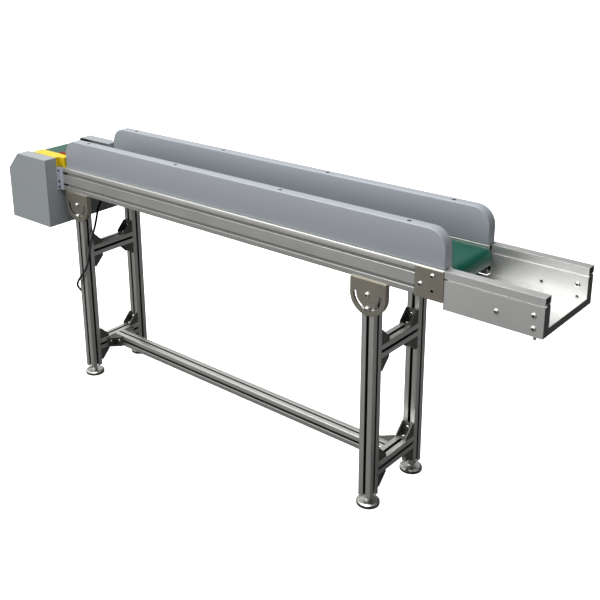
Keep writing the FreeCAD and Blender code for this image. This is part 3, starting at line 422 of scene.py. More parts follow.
def turned(name, profile, origin, axis=(0, 0, 1), count=40, flats=None, sharp=35.0):
    """A profile of (radius, height) carried round an axis; flats maps angles to a radius cap."""
    profile = np.array(profile, float)
    angle = np.linspace(0, 2 * math.pi, count, endpoint=False)
    radius = np.repeat(profile[:, :1], count, axis=1)
    if flats is not None:
        radius = np.minimum(radius, flats(angle)[None, :])
    grid = np.stack([radius * np.cos(angle), radius * np.sin(angle),
                     np.repeat(profile[:, 1:], count, axis=1)], -1)
    turn = np.array(Vector((0, 0, 1)).rotation_difference(Vector(axis)).to_matrix())
    return loft(name, grid @ turn.T + np.array(origin), sharp=sharp)


def merged_copy(node):
    """A bmesh of a CAD node, with the corners that its triangles share merged."""
    work = bmesh.new()
    work.from_mesh(frame["nodes"][node].data)
    bmesh.ops.remove_doubles(work, verts=work.verts, dist=MERGE_WITHIN)
    return work


def baked(work, name, sharp=35.0):
    """The smooth mesh of a bmesh, with sharp edges past the angle; the bmesh is freed."""
    mesh = bpy.data.meshes.new(name)
    work.to_mesh(mesh)
    work.free()
    mesh.shade_smooth()
    mesh.set_sharp_from_angle(angle=math.radians(sharp))
    return mesh


def joined(name, meshes):
    """Several meshes as one."""
    work = bmesh.new()
    for mesh in meshes:
        work.from_mesh(mesh)
    return baked(work, name)


print("doubles merge within", MERGE_WITHIN, "m")

# %% [markdown]
# ## T-slot extrusions
# The posts, crossbars, stretcher and rails are lengths of one family of profile.  Its section
# is a rectangle with rounded corners, and at each slot the outline dives in: a narrow mouth
# with a small lip chamfer, then a wide cavity with sloping shoulders.  The outline is worked
# out side by side, then carried along the bar.  UV runs round the outline and along the bar,
# which is what makes the die lines follow every piece.

# %% The profile's section
SLOT_MOUTH, SLOT_WIDE, SLOT_NARROW = 8.4 * MM, 20 * MM, 9 * MM
SLOT_LIP, SLOT_SHOULDER, SLOT_DEPTH = 4.5 * MM, 5.7 * MM, 12.3 * MM
CORNER_ROUND, LIP_CHAMFER, CELL = 1.6 * MM, 0.7 * MM, 40 * MM
LIP_SHADE = 0.3


# Painted shade: the third value of each outline point darkens it, fully in the slot's cavity and a
# little on the lip chamfer, for the shade inside the slot.
def slot_cut(centre):
    """One slot's outline as (along, depth, painted shade) rows, symmetric about its centre."""
    half = np.array([
        (SLOT_MOUTH / 2 + LIP_CHAMFER, 0, 0), (SLOT_MOUTH / 2, LIP_CHAMFER, LIP_SHADE),
        (SLOT_MOUTH / 2, SLOT_LIP, 1), (SLOT_WIDE / 2, SLOT_LIP, 1),
        (SLOT_WIDE / 2, SLOT_SHOULDER, 1), (SLOT_NARROW / 2, SLOT_DEPTH, 1)])
    left = half * (-1, 1, 1) + (centre, 0, 0)
    right = half[::-1] + (centre, 0, 0)
    return np.vstack([left, right])


def notch_cut(low, high, depth):
    """A plain rectangular notch as (along, depth, painted shade) rows."""
    return np.array([(low, 0, 0), (low, depth, 0), (high, depth, 0), (high, 0, 0)])


def section(width, height, cuts):
    """The outline, anticlockwise, as (across, up, painted shade) rows.

    cuts lists, for the sides below, right, above and left, the cuts into that side, each
    measured from the side's middle the way the outline runs.
    """
    w, h = width / 2, height / 2
    sides = [((-w, -h), (1, 0), width), ((w, -h), (0, 1), height),
             ((w, h), (-1, 0), width), ((-w, h), (0, -1), height)]
    bend = np.radians(np.array([0, 30, 60, 90]))
    points = []
    for (start, along, length), side_cuts in zip(sides, cuts):
        start, along = np.array(start), np.array(along)
        inward = np.array([-along[1], along[0]])
        centre = start + CORNER_ROUND * (along + inward)
        arc = -np.outer(np.cos(bend), along) - np.outer(np.sin(bend), inward)
        points.append(np.pad(centre + CORNER_ROUND * arc, ((0, 0), (0, 1))))
        for cut in side_cuts:
            middle = start + along * length / 2
            flat = middle + np.outer(cut[:, 0], along) + np.outer(cut[:, 1], inward)
            points.append(np.column_stack([flat, cut[:, 2]]))
    return np.vstack(points)


def extrusion(name, outline, centre, ends, axis):
    """The outline carried along an axis between two stations, about a centre line."""
    order = {"x": (1, 2, 0), "y": (2, 0, 1), "z": (0, 1, 2)}[axis]
    loops = np.zeros((len(ends), len(outline), 3))
    loops[:, :, order[0]] = outline[:, 0] + centre[order[0]]
    loops[:, :, order[1]] = outline[:, 1] + centre[order[1]]
    loops[:, :, order[2]] = np.array(ends)[:, None]
    steps = np.linalg.norm(np.diff(outline[:, :2], axis=0), axis=1)
    around = np.concatenate([[0], np.cumsum(steps)])
    uv = np.stack(np.broadcast_arrays(around[None, :], np.array(ends)[:, None]), axis=-1)
    return store_painted_shade(loft(name, loops, uv=uv), np.tile(outline[:, 2], len(ends)))


square = section(CELL, CELL, [[slot_cut(0)]] * 4)
print("section points on a square bar:", len(square))

# %% [markdown]
# ## Posts, crossbars and stretcher
# Nine bars of the stand share the square section with one slot in each side.  On the real stand
# they are sawn from one stock, so one outline serves them all, and only the axis and the two
# ends change.  Those come from each bar's own box.

# %% The stand's bars
bars = {node: axis for node, axis in
        [(f"post_{end}_{side}", "z") for end in ("drive", "discharge") for side in ("near", "far")]
        + [(f"{level}_crossbar_{end}", "y") for level in ("upper", "lower")
           for end in ("drive", "discharge")] + [("stretcher", "x")]}
for node, axis in bars.items():
    low, high = box(node)
    way = "xyz".index(axis)
    adopt(f"{node}_bar", extrusion(node, square, (low + high) / 2, (low[way], high[way]), axis),
          node)
print(len(bars), "bars")

# %% [markdown]
# ## Rails
# A rail is the tall profile of two cells.  At the tail its inner face is notched for the
# tension block, so the last stretch gets a section of its own: the notch on the inner side and
# only the lower slot on the outer side, which the stainless plate covers.

# %% Rails
NOTCH_LEAD, NOTCH_DEPTH = 15 * MM, 28 * MM
notch_low, notch_high = box("tension_blocks")
notch_start = notch_low[0] - NOTCH_LEAD
# A tall side has an early and a late slot, named along the way that its outline runs.
one, early, late = [slot_cut(0)], slot_cut(-CELL / 2), slot_cut(CELL / 2)
full = section(CELL, 2 * CELL, [one, [early, late], one, [early, late]])
for side in ("near", "far"):
    node = f"rail_{side}"
    low, high = box(node)
    middle = (low + high) / 2
    span = np.array([notch_low[2], notch_high[2]]) - middle[2]
    if side == "near":
        last_cuts = [one, [early, notch_cut(*span, NOTCH_DEPTH)], one, [late]]
    else:
        last_cuts = [one, [early], one, [notch_cut(*-span[::-1], NOTCH_DEPTH), late]]
    last = section(CELL, 2 * CELL, last_cuts)
    main = extrusion(node, full, middle, (low[0], notch_start), "x")
    rail = adopt(f"{node}_bar", main, node)
    tip = extrusion(node + "_tip", last, middle, (notch_start, high[0]), "x")
    place(f"{node}_notched_end", tip, slot_of[node], home[node])
    print(rail.name, "notch from", round(float(notch_start), 3))

# %% [markdown]
# ## Side guards
# Each guard is folded from sheet: two broad faces, and a rim that rolls over from one to the
# other round the top corners.  A slab whose outline shrinks as it nears each face gives exactly
# that rolled edge: at angle a of the fold, the outline is inset by r(1 - sin a) and the face
# lies r(1 - cos a) from its final plane.  The screw holes on top are cut with a boolean.

# %% The guard's slab
RIM_SHARP = 50


def guard_outline(low, high, inset, corner, steps=10):
    """The side view, anticlockwise from the lower left, with both top corners rounded."""
    x0, x1, z0, z1 = low[0] + inset, high[0] - inset, low[2] + inset, high[2] - inset
    radius = corner - inset
    bend = np.linspace(0, math.pi / 2, steps)
    right = np.stack([x1 - radius + radius * np.cos(bend), z1 - radius + radius * np.sin(bend)], 1)
    left = np.stack([x0 + radius - radius * np.sin(bend), z1 - radius + radius * np.cos(bend)], 1)
    base = np.array([(x0, z0), (x1, z0)])
    return np.vstack([base, right, left])


def guard_mesh(name, low, high, corner=50 * MM, fold=2.6 * MM, steps=5):
    """Outlines stacked across the guard's thickness, inset at both faces by the fold."""
    bend = np.linspace(0, math.pi / 2, steps)
    rows = [(low[1] + fold * (1 - math.cos(a)), fold * (1 - math.sin(a))) for a in bend]
    rows += [(high[1] - fold * (1 - math.cos(a)), fold * (1 - math.sin(a))) for a in bend[::-1]]
    loops = []
    for y, inset in rows:
        flat = guard_outline(low, high, inset, corner)
        loops.append(np.stack([flat[:, 0], np.full(len(flat), y), flat[:, 1]], 1))
    return loft(name, np.array(loops)[:, ::-1], sharp=RIM_SHARP)


print("guards reach from", round(float(box("guard_near")[0][0]), 3), "m")

# %% [markdown]
# ## The guards' screw holes
# Four screws hold each guard from above, and their holes show as dark spots along the top.
# A real hole is punched before folding.  Here one cutter of four upright discs is taken away
# from the finished slab, which keeps the rolled rim whole everywhere else.

# %% Guards with holes
FIRST_HOLE, HOLE_STEP, HOLE_COUNT = 123 * MM, 411 * MM, 4
HOLE_RADIUS, HOLE_REACH = 6 * MM, 4 * MM
hole_x = [start_x + FIRST_HOLE + step * HOLE_STEP for step in range(HOLE_COUNT)]
for side in ("near", "far"):
    node = f"guard_{side}"
    low, high = box(node)
    guard = adopt(f"{node}_shell", guard_mesh(node, low, high), node)
    drills = [turned("drill", [(HOLE_RADIUS, -HOLE_REACH), (HOLE_RADIUS, HOLE_REACH)],
                     (x, (low[1] + high[1]) / 2, high[2]), count=24) for x in hole_x]
    cutter = bpy.data.objects.new("drills", joined("drills", drills))
    bpy.context.scene.collection.objects.link(cutter)
    bore = guard.modifiers.new("holes", "BOOLEAN")
    bore.operation = "DIFFERENCE"
    bore.object = cutter
    bpy.context.view_layer.update()
    cut = bpy.data.meshes.new_from_object(
        guard.evaluated_get(bpy.context.evaluated_depsgraph_get()))
    guard.modifiers.clear()
    guard.data = cut
    bpy.data.objects.remove(cutter)
    cut.set_sharp_from_angle(angle=math.radians(RIM_SHARP))
    print(guard.name, len(cut.polygons), "faces")

# %% [markdown]
# ## The belt
# The belt is a flat strip that runs up from the drive drum, over the bed, round the tail roller
# and back below.  So its path is three straight runs and two arcs, which the runs touch at a
# tangent.  The strip's section has rounded edges, so each section point rides the same path at
# its own distance from the drum's face.

# %% Belt path


def node_axis(node):
    """Centre and radius in the XZ plane of a round node that lies across the belt."""
    low, high = box(node)
    return np.array([(low[0] + high[0]) / 2, (low[2] + high[2]) / 2]), (high[2] - low[2]) / 2


RUNNING_GAP = 0.3 * MM
drum_at, drum_r = node_axis("drive_drum")
tail_at, tail_r = node_axis("tail_roller")
bed_low, bed_high = box("slider_bed")


def polar(angle):
    """Unit vectors at the given angles in the XZ plane."""
    return np.stack([np.cos(angle), np.sin(angle)], -1)


def belt_path(extra, arc_steps=40):
    """The loop at a height above the drum's face: over the bed, round the tail, back below."""
    r_tail = tail_r + RUNNING_GAP + extra
    r_drum = drum_r + RUNNING_GAP + extra
    crest = np.array([bed_low[0], bed_high[2] + RUNNING_GAP + extra])
    reach = crest - drum_at
    leave = math.atan2(reach[1], reach[0]) + math.acos(r_drum / np.hypot(*reach))
    back = drum_at - tail_at
    under = math.atan2(back[1], back[0]) % (2 * math.pi)
    under += math.acos((r_tail - r_drum) / np.hypot(*back))
    tail_arc = np.linspace(math.pi / 2, under - 2 * math.pi, arc_steps)
    drum_arc = np.linspace(under, leave, arc_steps)
    return np.vstack([crest[None], tail_at + r_tail * polar(tail_arc),
                      drum_at + r_drum * polar(drum_arc)])


print("drum radius", round(float(drum_r), 4), "roller radius", round(float(tail_r), 4))

# %% [markdown]
# ## The belt's strip
# The belt is 2 mm thick, cut from a wide sheet and buffed at its edges.  Eight points make its
# section, and each carries the whole path at its own height, so the strip keeps its thickness
# round both rollers.  UV runs along the travel and across the belt, for the grain.

# %% Belt strip
BELT_THICK, BELT_EDGE = 2.0 * MM, 0.6 * MM
belt_low, belt_high = box("conveyor_belt")
near_y, far_y = belt_low[1], belt_high[1]
strip = [(near_y + BELT_EDGE, 0), (near_y, BELT_EDGE), (near_y, BELT_THICK - BELT_EDGE),
         (near_y + BELT_EDGE, BELT_THICK), (far_y - BELT_EDGE, BELT_THICK),
         (far_y, BELT_THICK - BELT_EDGE), (far_y, BELT_EDGE), (far_y - BELT_EDGE, 0)]
rows = [belt_path(extra) for y, extra in strip]
belt_grid = np.array([np.column_stack([row[:, 0], np.full(len(row), y), row[:, 1]])
                      for (y, extra), row in zip(strip, rows)])
travel = np.concatenate([[0], np.cumsum(np.linalg.norm(np.diff(rows[0], axis=0), axis=1))])
across = np.array([y for y, extra in strip])
belt_uv = np.stack(np.broadcast_arrays(travel[None, :], across[:, None]), axis=-1)
belt_faces = strip_faces(len(strip), len(rows[0]), close_rows=True)
adopt("belt_strip", make_mesh("belt", belt_grid, belt_faces, uv=belt_uv), "conveyor_belt")
print("belt loop", round(float(travel[-1]), 3), "m")

# %% [markdown]
# ## Softened edges
# Brackets, plates and covers already have the right shape, but a CAD edge is a perfect knife
# edge and shows no highlight.  A copy with its doubles merged and its flat faces joined takes a
# narrow bevel, and then every edge catches the light as a real one does.

# %% Bevelled copies
FLAT_WITHIN = math.radians(0.5)
SQUARE_TO_X, END_SHADE_WITHIN = 0.99, 0.1 * MM


def softened(node, width, segments=2, limit=32.0, shaded_end_x=None):
    """A merged copy of a CAD node with a bevel on its sharper edges.

    Faces square to X at the given end, the bare saw cuts, get painted shade for the shade they stand in.
    """
    work = merged_copy(node)
    bmesh.ops.dissolve_limit(work, angle_limit=FLAT_WITHIN, verts=work.verts, edges=work.edges)
    mesh = baked(work, node + "_soft", limit)
    if shaded_end_x is not None:
        end_shade_faces = [face.normal.x > SQUARE_TO_X and abs(face.center.x - shaded_end_x) < END_SHADE_WITHIN
                   for face in mesh.polygons]
        store_painted_shade(mesh, end_shade_faces, "FACE")
    item = adopt(f"{node}_softened", mesh, node)
    bevel = item.modifiers.new("edge", "BEVEL")
    bevel.width = width
    bevel.segments = segments
    bevel.limit_method = "ANGLE"
    bevel.angle_limit = math.radians(limit)
    bevel.harden_normals = True


edge_mm = {
    "crossbar_brackets": 0.8, "stretcher_brackets": 0.8, "tail_plates": 0.4,
    "pivot_plates": 0.6, "head_cover": 0.7, "belt_side_cover": 1.4, "rail_end_bracket": 0.4,
    "tray_wall_near": 0.5, "tray_wall_far": 0.5, "tray_floor": 0.4, "tray_end_caps": 0.6,
    "edge_seal": 0.8, "tension_blocks": 0.5, "head_plates": 0.5, "motor_bracket": 0.5,
    "gearbox": 1.5, "motor": 1.2, "slot_strips": 0.3, "cross_ties": 0.6, "slider_bed": 0.4}
# The tray's end faces get painted shade.
tray_end = box("tray_floor")[1][0]
for node, width in edge_mm.items():
    end_to_shade = tray_end if node in ("tray_wall_near", "tray_wall_far", "tray_floor") else None
    softened(node, width * MM, shaded_end_x=end_to_shade)
print(len(edge_mm), "softened pieces")

# %% [markdown]
# ## Screw sockets
# A hexagon socket looks black, because almost no light finds its way out again; that shade is painted
# in.
# Each screw is an island of the merged copy.  Two sides of its box are the head's width, so its axis
# is the third, and the points closer to that axis than the socket's corners get the painted shade.

# %% Screws with dark sockets
SOCKET_REACH, HEAD_SHARP = 3.1 * MM, 30


def islands(work):
    """The loose parts of a bmesh, as lists of vertices."""
    left = set(work.verts)
    while left:
        stack = [left.pop()]
        part = []
        while stack:
            vertex = stack.pop()
            part.append(vertex)
            for edge in vertex.link_edges:
                other = edge.other_vert(vertex)
                if other in left:
                    left.remove(other)
                    stack.append(other)
        yield part


def socketed(node):
    """A merged copy of a node of screws, with painted shade stored in every socket."""
    work = merged_copy(node)
    work.verts.index_update()
    shade_amount = np.zeros(len(work.verts))
    for part in islands(work):
        points = np.array([vertex.co for vertex in part])
        size = np.ptp(points, axis=0)
        pairs = [(abs(size[a] - size[b]), 3 - a - b) for a, b in ((0, 1), (1, 2), (2, 0))]
        axis = min(pairs)[1]
        offset = np.delete(points - (points.min(axis=0) + size / 2), axis, axis=1)
        socket_shade_mask = np.hypot(offset[:, 0], offset[:, 1]) < SOCKET_REACH
        shade_amount[[vertex.index for vertex, inside in zip(part, socket_shade_mask) if inside]] = 1
    mesh = baked(work, node + "_sockets", HEAD_SHARP)
    adopt(f"{node}_with_sockets", store_painted_shade(mesh, shade_amount), node)


for node in ("bracket_screws", "pivot_bolts_drive", "pivot_bolts_discharge",
             "pivot_flange_screws", "tail_plate_screws", "tray_screws"):
    socketed(node)
print("sockets darkened")

# %% [markdown]
# ## Threads and hexagons
# A levelling foot is turned: a disc with a rounded rim and a bevelled shoulder, a boss, and a
# threaded spindle.  The lock nut uses the same grid with a radius that also depends on the
# angle, so its six flats are the chords of its corner circle and its corners are chamfered.

# %% Threads and hexagons


def hexagon_cap(across_flats):
    """The radius of a hexagon at each angle: half its width over the cosine to the flat."""
    def cap(angle):
        return across_flats / 2 / np.cos((angle + math.pi / 6) % (math.pi / 3) - math.pi / 6)
    return cap


def thread(radius, low, high, pitch=1.5, depth=0.6):
    """A profile of ridges between two heights, in millimetres: crest, root, crest."""
    count = int((high - low) / pitch)
    heights = low + np.arange(count) * pitch
    ridges = np.stack([np.full(count, radius), heights, np.full(count, radius - depth),
                       heights + pitch / 2], 1).reshape(-1, 2)
    return np.vstack([ridges, [(radius, high)]])


print("a hexagon's corners are", round(2 * float(hexagon_cap(1)(math.pi / 6)), 3), "its flats")

# %% [markdown]
# ## The four feet
# All four feet are one bought part, so the three profiles are written once, in millimetres.
# The rim of the disc is painted darker than its bright top: painted shade, as it stands in the foot's
# own shadow, and scuffed plating.

# %% Feet
FOOT_DISC = np.array([
    (0.5, 0), (31.6, 0), (32.7, 0.5), (33, 1.4), (33, 8.6), (32.7, 9.1), (31.6, 9.4), (31, 9.7),
    (28.6, 12.6), (27.4, 13), (24, 12.9), (23.2, 12.3), (11, 12.3), (9.6, 12.8), (9, 13.8),
    (9, 17.2), (8.2, 18), (5, 18)]) * MM
FOOT_SPINDLE = np.vstack([[(4.2, 17.5)], thread(5, 18, 87), [(4.2, 88), (0.4, 88)]]) * MM
FOOT_NUT = np.array([(4.6, 22), (8.3, 22), (9.9, 22.9), (9.9, 27.1), (8.3, 28), (4.6, 28)]) * MM
NUT_FLATS, RIM_SHADE_FROM, RIM_SHADE_BELOW = 17 * MM, 32.5 * MM, 9.2 * MM
for end in ("drive", "discharge"):
    for side in ("near", "far"):
        node = f"foot_{end}_{side}"
        low, high = box(node)
        middle = (low + high) / 2
        at = (middle[0], middle[1], 0)
        body = joined(node, [turned("disc", FOOT_DISC, at),
                             turned("spindle", FOOT_SPINDLE, at, count=24),
                             turned("nut", FOOT_NUT, at, count=48,
                                    flats=hexagon_cap(NUT_FLATS))])
        where = np.array([vertex.co for vertex in body.vertices]) - at
        rim_shade = (np.hypot(where[:, 0], where[:, 1]) > RIM_SHADE_FROM) & (where[:, 2] < RIM_SHADE_BELOW)
        adopt(f"{node}_turned", store_painted_shade(body, rim_shade), node)
print("four feet")

# %% [markdown]
# ## The mains lead's route
# The lead leaves its gland on the end of the head cover, hangs beside the drive post, crosses
# the post's face and goes down behind it.  What is left over is folded into a flat hank behind the post,
# with its plug at the far end.  The route is a list of points given one by one, because a hanging lead
# follows no formula, and the hank's turns come from a loop: each fold is four points round half
# a circle, and each full turn drops by one diameter at the near end, so the turns lie on each
# other.

# %% Route and hank
LEAD_RADIUS = 4.0 * MM
LEAD = [
    (8, 8, 650), (38, 5, 648), (59, -12, 632), (63, -38, 606), (88, -74, 560),
    (100.5, -99, 532), (100, -116, 487), (99, -127, 437), (93, -142, 403),
    (60, -143, 368), (38, -137, 337), (35, -112, 306), (37, -91, 266), (40, -86, 204),
    (40, -85, 136), (36, -84, 98), (28, -84, 65), (8, -83, 41), (-19.9, -71.1, 28),
    (-43.7, -52.8, 28),
]
HANK_LENGTH, HANK_WIDTH, HANK_TURNS = 125.0, 56.0, 3
FOLD_SWELL, FIRST_LEAD_IN = 1.04, 12
TAIL_STRAIGHT, TAIL_TURN, TAIL_SIDE, TAIL_RISE = 40, 10, 16, 1.2
PLUG_SIDE, PLUG_LEAD_IN = 14, 2
route = np.array([local(*point) for point in LEAD])
run = route[-1] - route[-2]
run /= np.linalg.norm(run)
level = np.cross((0, 0, 1), run)
hank_at = route[-1] - level * (HANK_WIDTH * MM / 2 - LEAD_RADIUS)
hank_at[2] = 0


def in_hank(along, side, height):
    """A point of the hank from its near end, in millimetres."""
    return hank_at + run * along * MM + level * side * MM + np.array([0, 0, height * MM])


def hank_points():
    """Three turns of flat loops from the top layer down, then one run out to the plug.

    A fold's points lie at the bend's angles on a circle a little larger than the fold, because
    the smooth curve passes inside its points.
    """
    diameter = 2 * LEAD_RADIUS / MM
    side = HANK_WIDTH / 2 - diameter / 2
    far, near = HANK_LENGTH - HANK_WIDTH / 2, HANK_WIDTH / 2
    bend = np.radians([67.5, 22.5, -22.5, -67.5])
    reach = side * FOLD_SWELL
    points = []
    for turn in range(HANK_TURNS):
        height = diameter * (HANK_TURNS - turn + 0.5)
        points += [(near + FIRST_LEAD_IN, side, height), (far, side, height)]
        points += [(far + reach * math.cos(a), reach * math.sin(a), height) for a in bend]
        points += [(far, -side, height), (near, -side, height)]
        points += [(near - reach * math.cos(a), -reach * math.sin(a),
                    height - diameter * (step + 0.5) / 4) for step, a in enumerate(bend)]
    low = diameter / 2
    points += [(near, side, low), (far - TAIL_STRAIGHT, side, low),
               (far - TAIL_TURN, TAIL_SIDE, low),
               (HANK_LENGTH + PLUG_LEAD_IN, PLUG_SIDE, low + TAIL_RISE)]
    return np.array([in_hank(*point) for point in points])


line = np.vstack([route, hank_points()])
print(len(route), "route points and", len(line) - len(route), "in the hank")

# %% [markdown]
# ## The lead itself
# A lead is one round section swept along its route.  A NURBS curve of order three passes close
# to its points with no kinks, and its own bevel gives the section.  A mesh of the bare curve is
# taken before the bevel is set.

# %% Lead
curve = bpy.data.curves.new("mains_lead", "CURVE")
curve.dimensions = "3D"
spline = curve.splines.new("NURBS")
spline.points.add(len(line) - 1)
spline.points.foreach_set("co", np.column_stack([line, np.ones(len(line))]).ravel())
spline.order_u = 3
spline.use_endpoint_u = True
spline.resolution_u = 8
lead = bpy.data.objects.new("mains_lead", curve)
bpy.context.scene.collection.objects.link(lead)
bpy.context.view_layer.update()
bare = bpy.data.meshes.new_from_object(lead.evaluated_get(bpy.context.evaluated_depsgraph_get()))
curve.bevel_depth = LEAD_RADIUS
curve.bevel_resolution = 5
curve.use_fill_caps = True
curve.materials.append(finishes["cord_black"])
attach(lead, "deck")
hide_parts("power_cord", "cord_hank")

# %% [markdown]
# ## Gland
# The gland holds the lead where it leaves the cover.  It is turned about the lead's first run:
# a hexagon against the cover, a clamping dome and a ribbed sleeve that tapers, so the lead
# can't be bent sharply at its exit.

# %% Gland
first = route[1] - route[0]
first /= np.linalg.norm(first)
gland_low = box("cable_gland")[0]
gland_root = route[0] - first * (route[0][0] - gland_low[0]) / first[0]
GLAND_FLATS, RIB_START, RIB_RADIUS, RIB_STEP = 19 * MM, 14.5, 5.95, 0.9
RIB_TAPER, RIB_DEPTH, RIB_COUNT = 0.08, 0.5, 11
ribs = [(RIB_RADIUS - RIB_TAPER * k - RIB_DEPTH * (k % 2), RIB_START + RIB_STEP * k)
        for k in range(RIB_COUNT)]
GLAND_NUT = np.array([(4.2, 1.5), (9.6, 1.5), (10.8, 2.5), (10.8, 7), (9.6, 8), (4.2, 8)]) * MM
GLAND_DOME = np.array([(4.2, 7.8), (9, 7.8), (9, 11.5), (8.2, 13.2), (6.4, 14.2), *ribs,
                       (4.2, 24)]) * MM
gland = joined("gland", [
    turned("hexagon", GLAND_NUT, gland_root, first, 48, hexagon_cap(GLAND_FLATS)),
    turned("dome", GLAND_DOME, gland_root, first)])
place("gland_and_sleeve", gland, "cap_black", "deck", "cable_gland")
print("gland root", [round(float(value), 3) for value in gland_root])

# %% [markdown]
# ## Plug
# The plug is moulded round the lead's end: a ribbed sleeve, then a body that swells and narrows
# for the fingers, then two round pins.  Every section is a superellipse, which runs from a
# round sleeve to a body with flat sides by changing one power.

# %% Plug
plug_at = in_hank(HANK_LENGTH, PLUG_SIDE, 0)


def plug_ring(along, half_width, half_height, centre, power=3.2, count=32):
    """A superellipse across the plug's axis: |y/a|^p + |z/b|^p = 1."""
    angle = np.linspace(0, 2 * math.pi, count, endpoint=False)
    y = half_width * np.sign(np.cos(angle)) * np.abs(np.cos(angle)) ** (2 / power)
    z = half_height * np.sign(np.sin(angle)) * np.abs(np.sin(angle)) ** (2 / power)
    return np.array([plug_at + (run * along + level * b) * MM + np.array([0, 0, (centre + c) * MM])
                     for b, c in zip(y, z)])


SLEEVE_STEP, SLEEVE_RADIUS, SLEEVE_GROOVE, SLEEVE_HEIGHT, ROUND = 2.4, 4.95, 0.4, 5.2, 2.0
sleeve_radii = [SLEEVE_RADIUS - SLEEVE_GROOVE * (k % 2) for k in range(RIB_COUNT)]
sleeve = [plug_ring(k * SLEEVE_STEP, radius, radius, SLEEVE_HEIGHT, ROUND)
          for k, radius in enumerate(sleeve_radii)]
shape = [(23.5, 4.2, 4.2, 6.2), (24.2, 8.5, 5.6, 7.2), (26, 11.2, 7.2, 7.8), (34, 12.0, 7.7, 8),
         (46, 11.2, 7.3, 8), (56, 12.4, 7.8, 8), (62.5, 12.7, 7.9, 8), (64, 12.0, 7.2, 8)]
PIN_ROOT, PIN_SPREAD, PIN_HEIGHT = 63.8, 9.5, 8
PIN = np.array([(0.2, 0), (2.35, 0.2), (2.35, 17.6), (1.7, 18.9), (0.3, 19.1)]) * MM
pins = []
for side in (-PIN_SPREAD, PIN_SPREAD):
    base = plug_at + (run * PIN_ROOT + level * side) * MM + np.array([0, 0, PIN_HEIGHT * MM])
    pins.append(turned("pin", PIN, base, run, 20))
body = np.array([plug_ring(*ring) for ring in shape])
moulding = joined("plug", [loft("sleeve", np.array(sleeve)), loft("body", body)])
plug = place("moulded_plug", moulding, "cord_black", "deck", "power_plug")
pin_piece = place("plug_pins", joined("pins", pins), "zinc_screw", "deck")
print("plug", len(plug.data.polygons), "faces, two pins")

# %% [markdown]
# ## Tie
# A thin flat band holds the hank.  It is a closed strip round the hank's section: four rows,
# the outer pair at full size and the inner pair a little smaller, on a superellipse whose small
# power makes it nearly a rectangle with rounded corners.

# %% Tie
BAND_HALF_HEIGHT, BAND_LIFT, BAND_POWER, BAND_COUNT = 16.4, 0.1, 0.35, 40
BAND_FROM, BAND_TO, BAND_INSIDE = 58, 66, 0.97
angle = np.linspace(0, 2 * math.pi, BAND_COUNT, endpoint=False)
band_y = np.sign(np.cos(angle)) * np.abs(np.cos(angle)) ** BAND_POWER
band_y *= HANK_WIDTH / 2 - BAND_LIFT
band_z = BAND_HALF_HEIGHT * np.sign(np.sin(angle)) * np.abs(np.sin(angle)) ** BAND_POWER
rows = [(BAND_FROM, BAND_INSIDE), (BAND_FROM, 1.0), (BAND_TO, 1.0), (BAND_TO, BAND_INSIDE)]
band = np.array([[in_hank(x, y * k, BAND_HALF_HEIGHT + BAND_LIFT + z * k)
                  for y, z in zip(band_y, band_z)] for x, k in rows])
band_faces = strip_faces(len(rows), BAND_COUNT, close_rows=True)
tie = place("hank_tie", make_mesh("tie", band, band_faces), "cap_black", "deck")
print("tie round the hank, lead described")

# %% [markdown]
# ## The yellow cover's screw
# One black screw holds the yellow cover.  Its head is a shallow turned dome with a dip in the
# middle for the driver, sunk a little into the cover's top.

# %% Cover screw
SCREW_HEAD = np.array([
    (4.4, 0), (4.2, 0.5), (3.2, 1.05), (1.6, 1.25), (1.4, 0.9), (0.2, 0.9)]) * MM
SCREW_FROM_CORNER = np.array([18, 12, 1.2]) * MM
spot = box("belt_side_cover")[1] - SCREW_FROM_CORNER
place("cover_screw", turned("cover_screw", SCREW_HEAD, spot, count=24), "black_screw", "deck")
print("cover screw at", [round(float(value), 3) for value in spot])

# %% [markdown]
# ## The floor
# A product stands on a sheet of paper that vanishes into white.  The floor glows to the camera
# but is dark to reflections, as a studio floor out of the light would be, so the metal keeps
# its contrast.  The light path node tells the two apart.

# %% Floor
FLOOR_HALF, FLOOR_ROUGHNESS = 14.0, 0.9
FLOOR_TO_CAMERA, FLOOR_TO_OTHERS = (0.8, 0.8, 0.8, 1), (0.095, 0.095, 0.095, 1)
WHITE = (1, 1, 1, 1)


def by_ray(tree, kind, others, camera):
    """A mix that gives the camera its own value and every other ray another."""
    path = tree.nodes.new("ShaderNodeLightPath")
    mix = tree.nodes.new("ShaderNodeMix")
    mix.data_type = kind
    feed(tree, mix.inputs["A"], others)
    mix.inputs["B"].default_value = camera
    tree.links.new(path.outputs["Is Camera Ray"], mix.inputs["Factor"])
    return mix.outputs["Result"], path.outputs["Is Camera Ray"]


def stage_floor(half):
    """A square at floor level, its corners half its side from the middle along X and Y."""
    corners = [(-half, -half, 0), (half, -half, 0), (half, half, 0), (-half, half, 0)]
    mesh = bpy.data.meshes.new("floor")
    mesh.from_pydata(corners, [], [(0, 1, 2, 3)])
    floor = bpy.data.objects.new("floor", mesh)
    bpy.context.scene.collection.objects.link(floor)
    material = bpy.data.materials.new("pale_floor")
    material.use_nodes = True
    tree = material.node_tree
    shader = tree.nodes["Principled BSDF"]
    shader.inputs["Roughness"].default_value = FLOOR_ROUGHNESS
    colour, seen = by_ray(tree, "RGBA", FLOOR_TO_OTHERS, FLOOR_TO_CAMERA)
    tree.links.new(colour, shader.inputs["Base Color"])
    shader.inputs["Emission Color"].default_value = WHITE
    tree.links.new(seen, shader.inputs["Emission Strength"])
    mesh.materials.append(material)


stage_floor(FLOOR_HALF)
print("floor", 2 * FLOOR_HALF, "m wide")

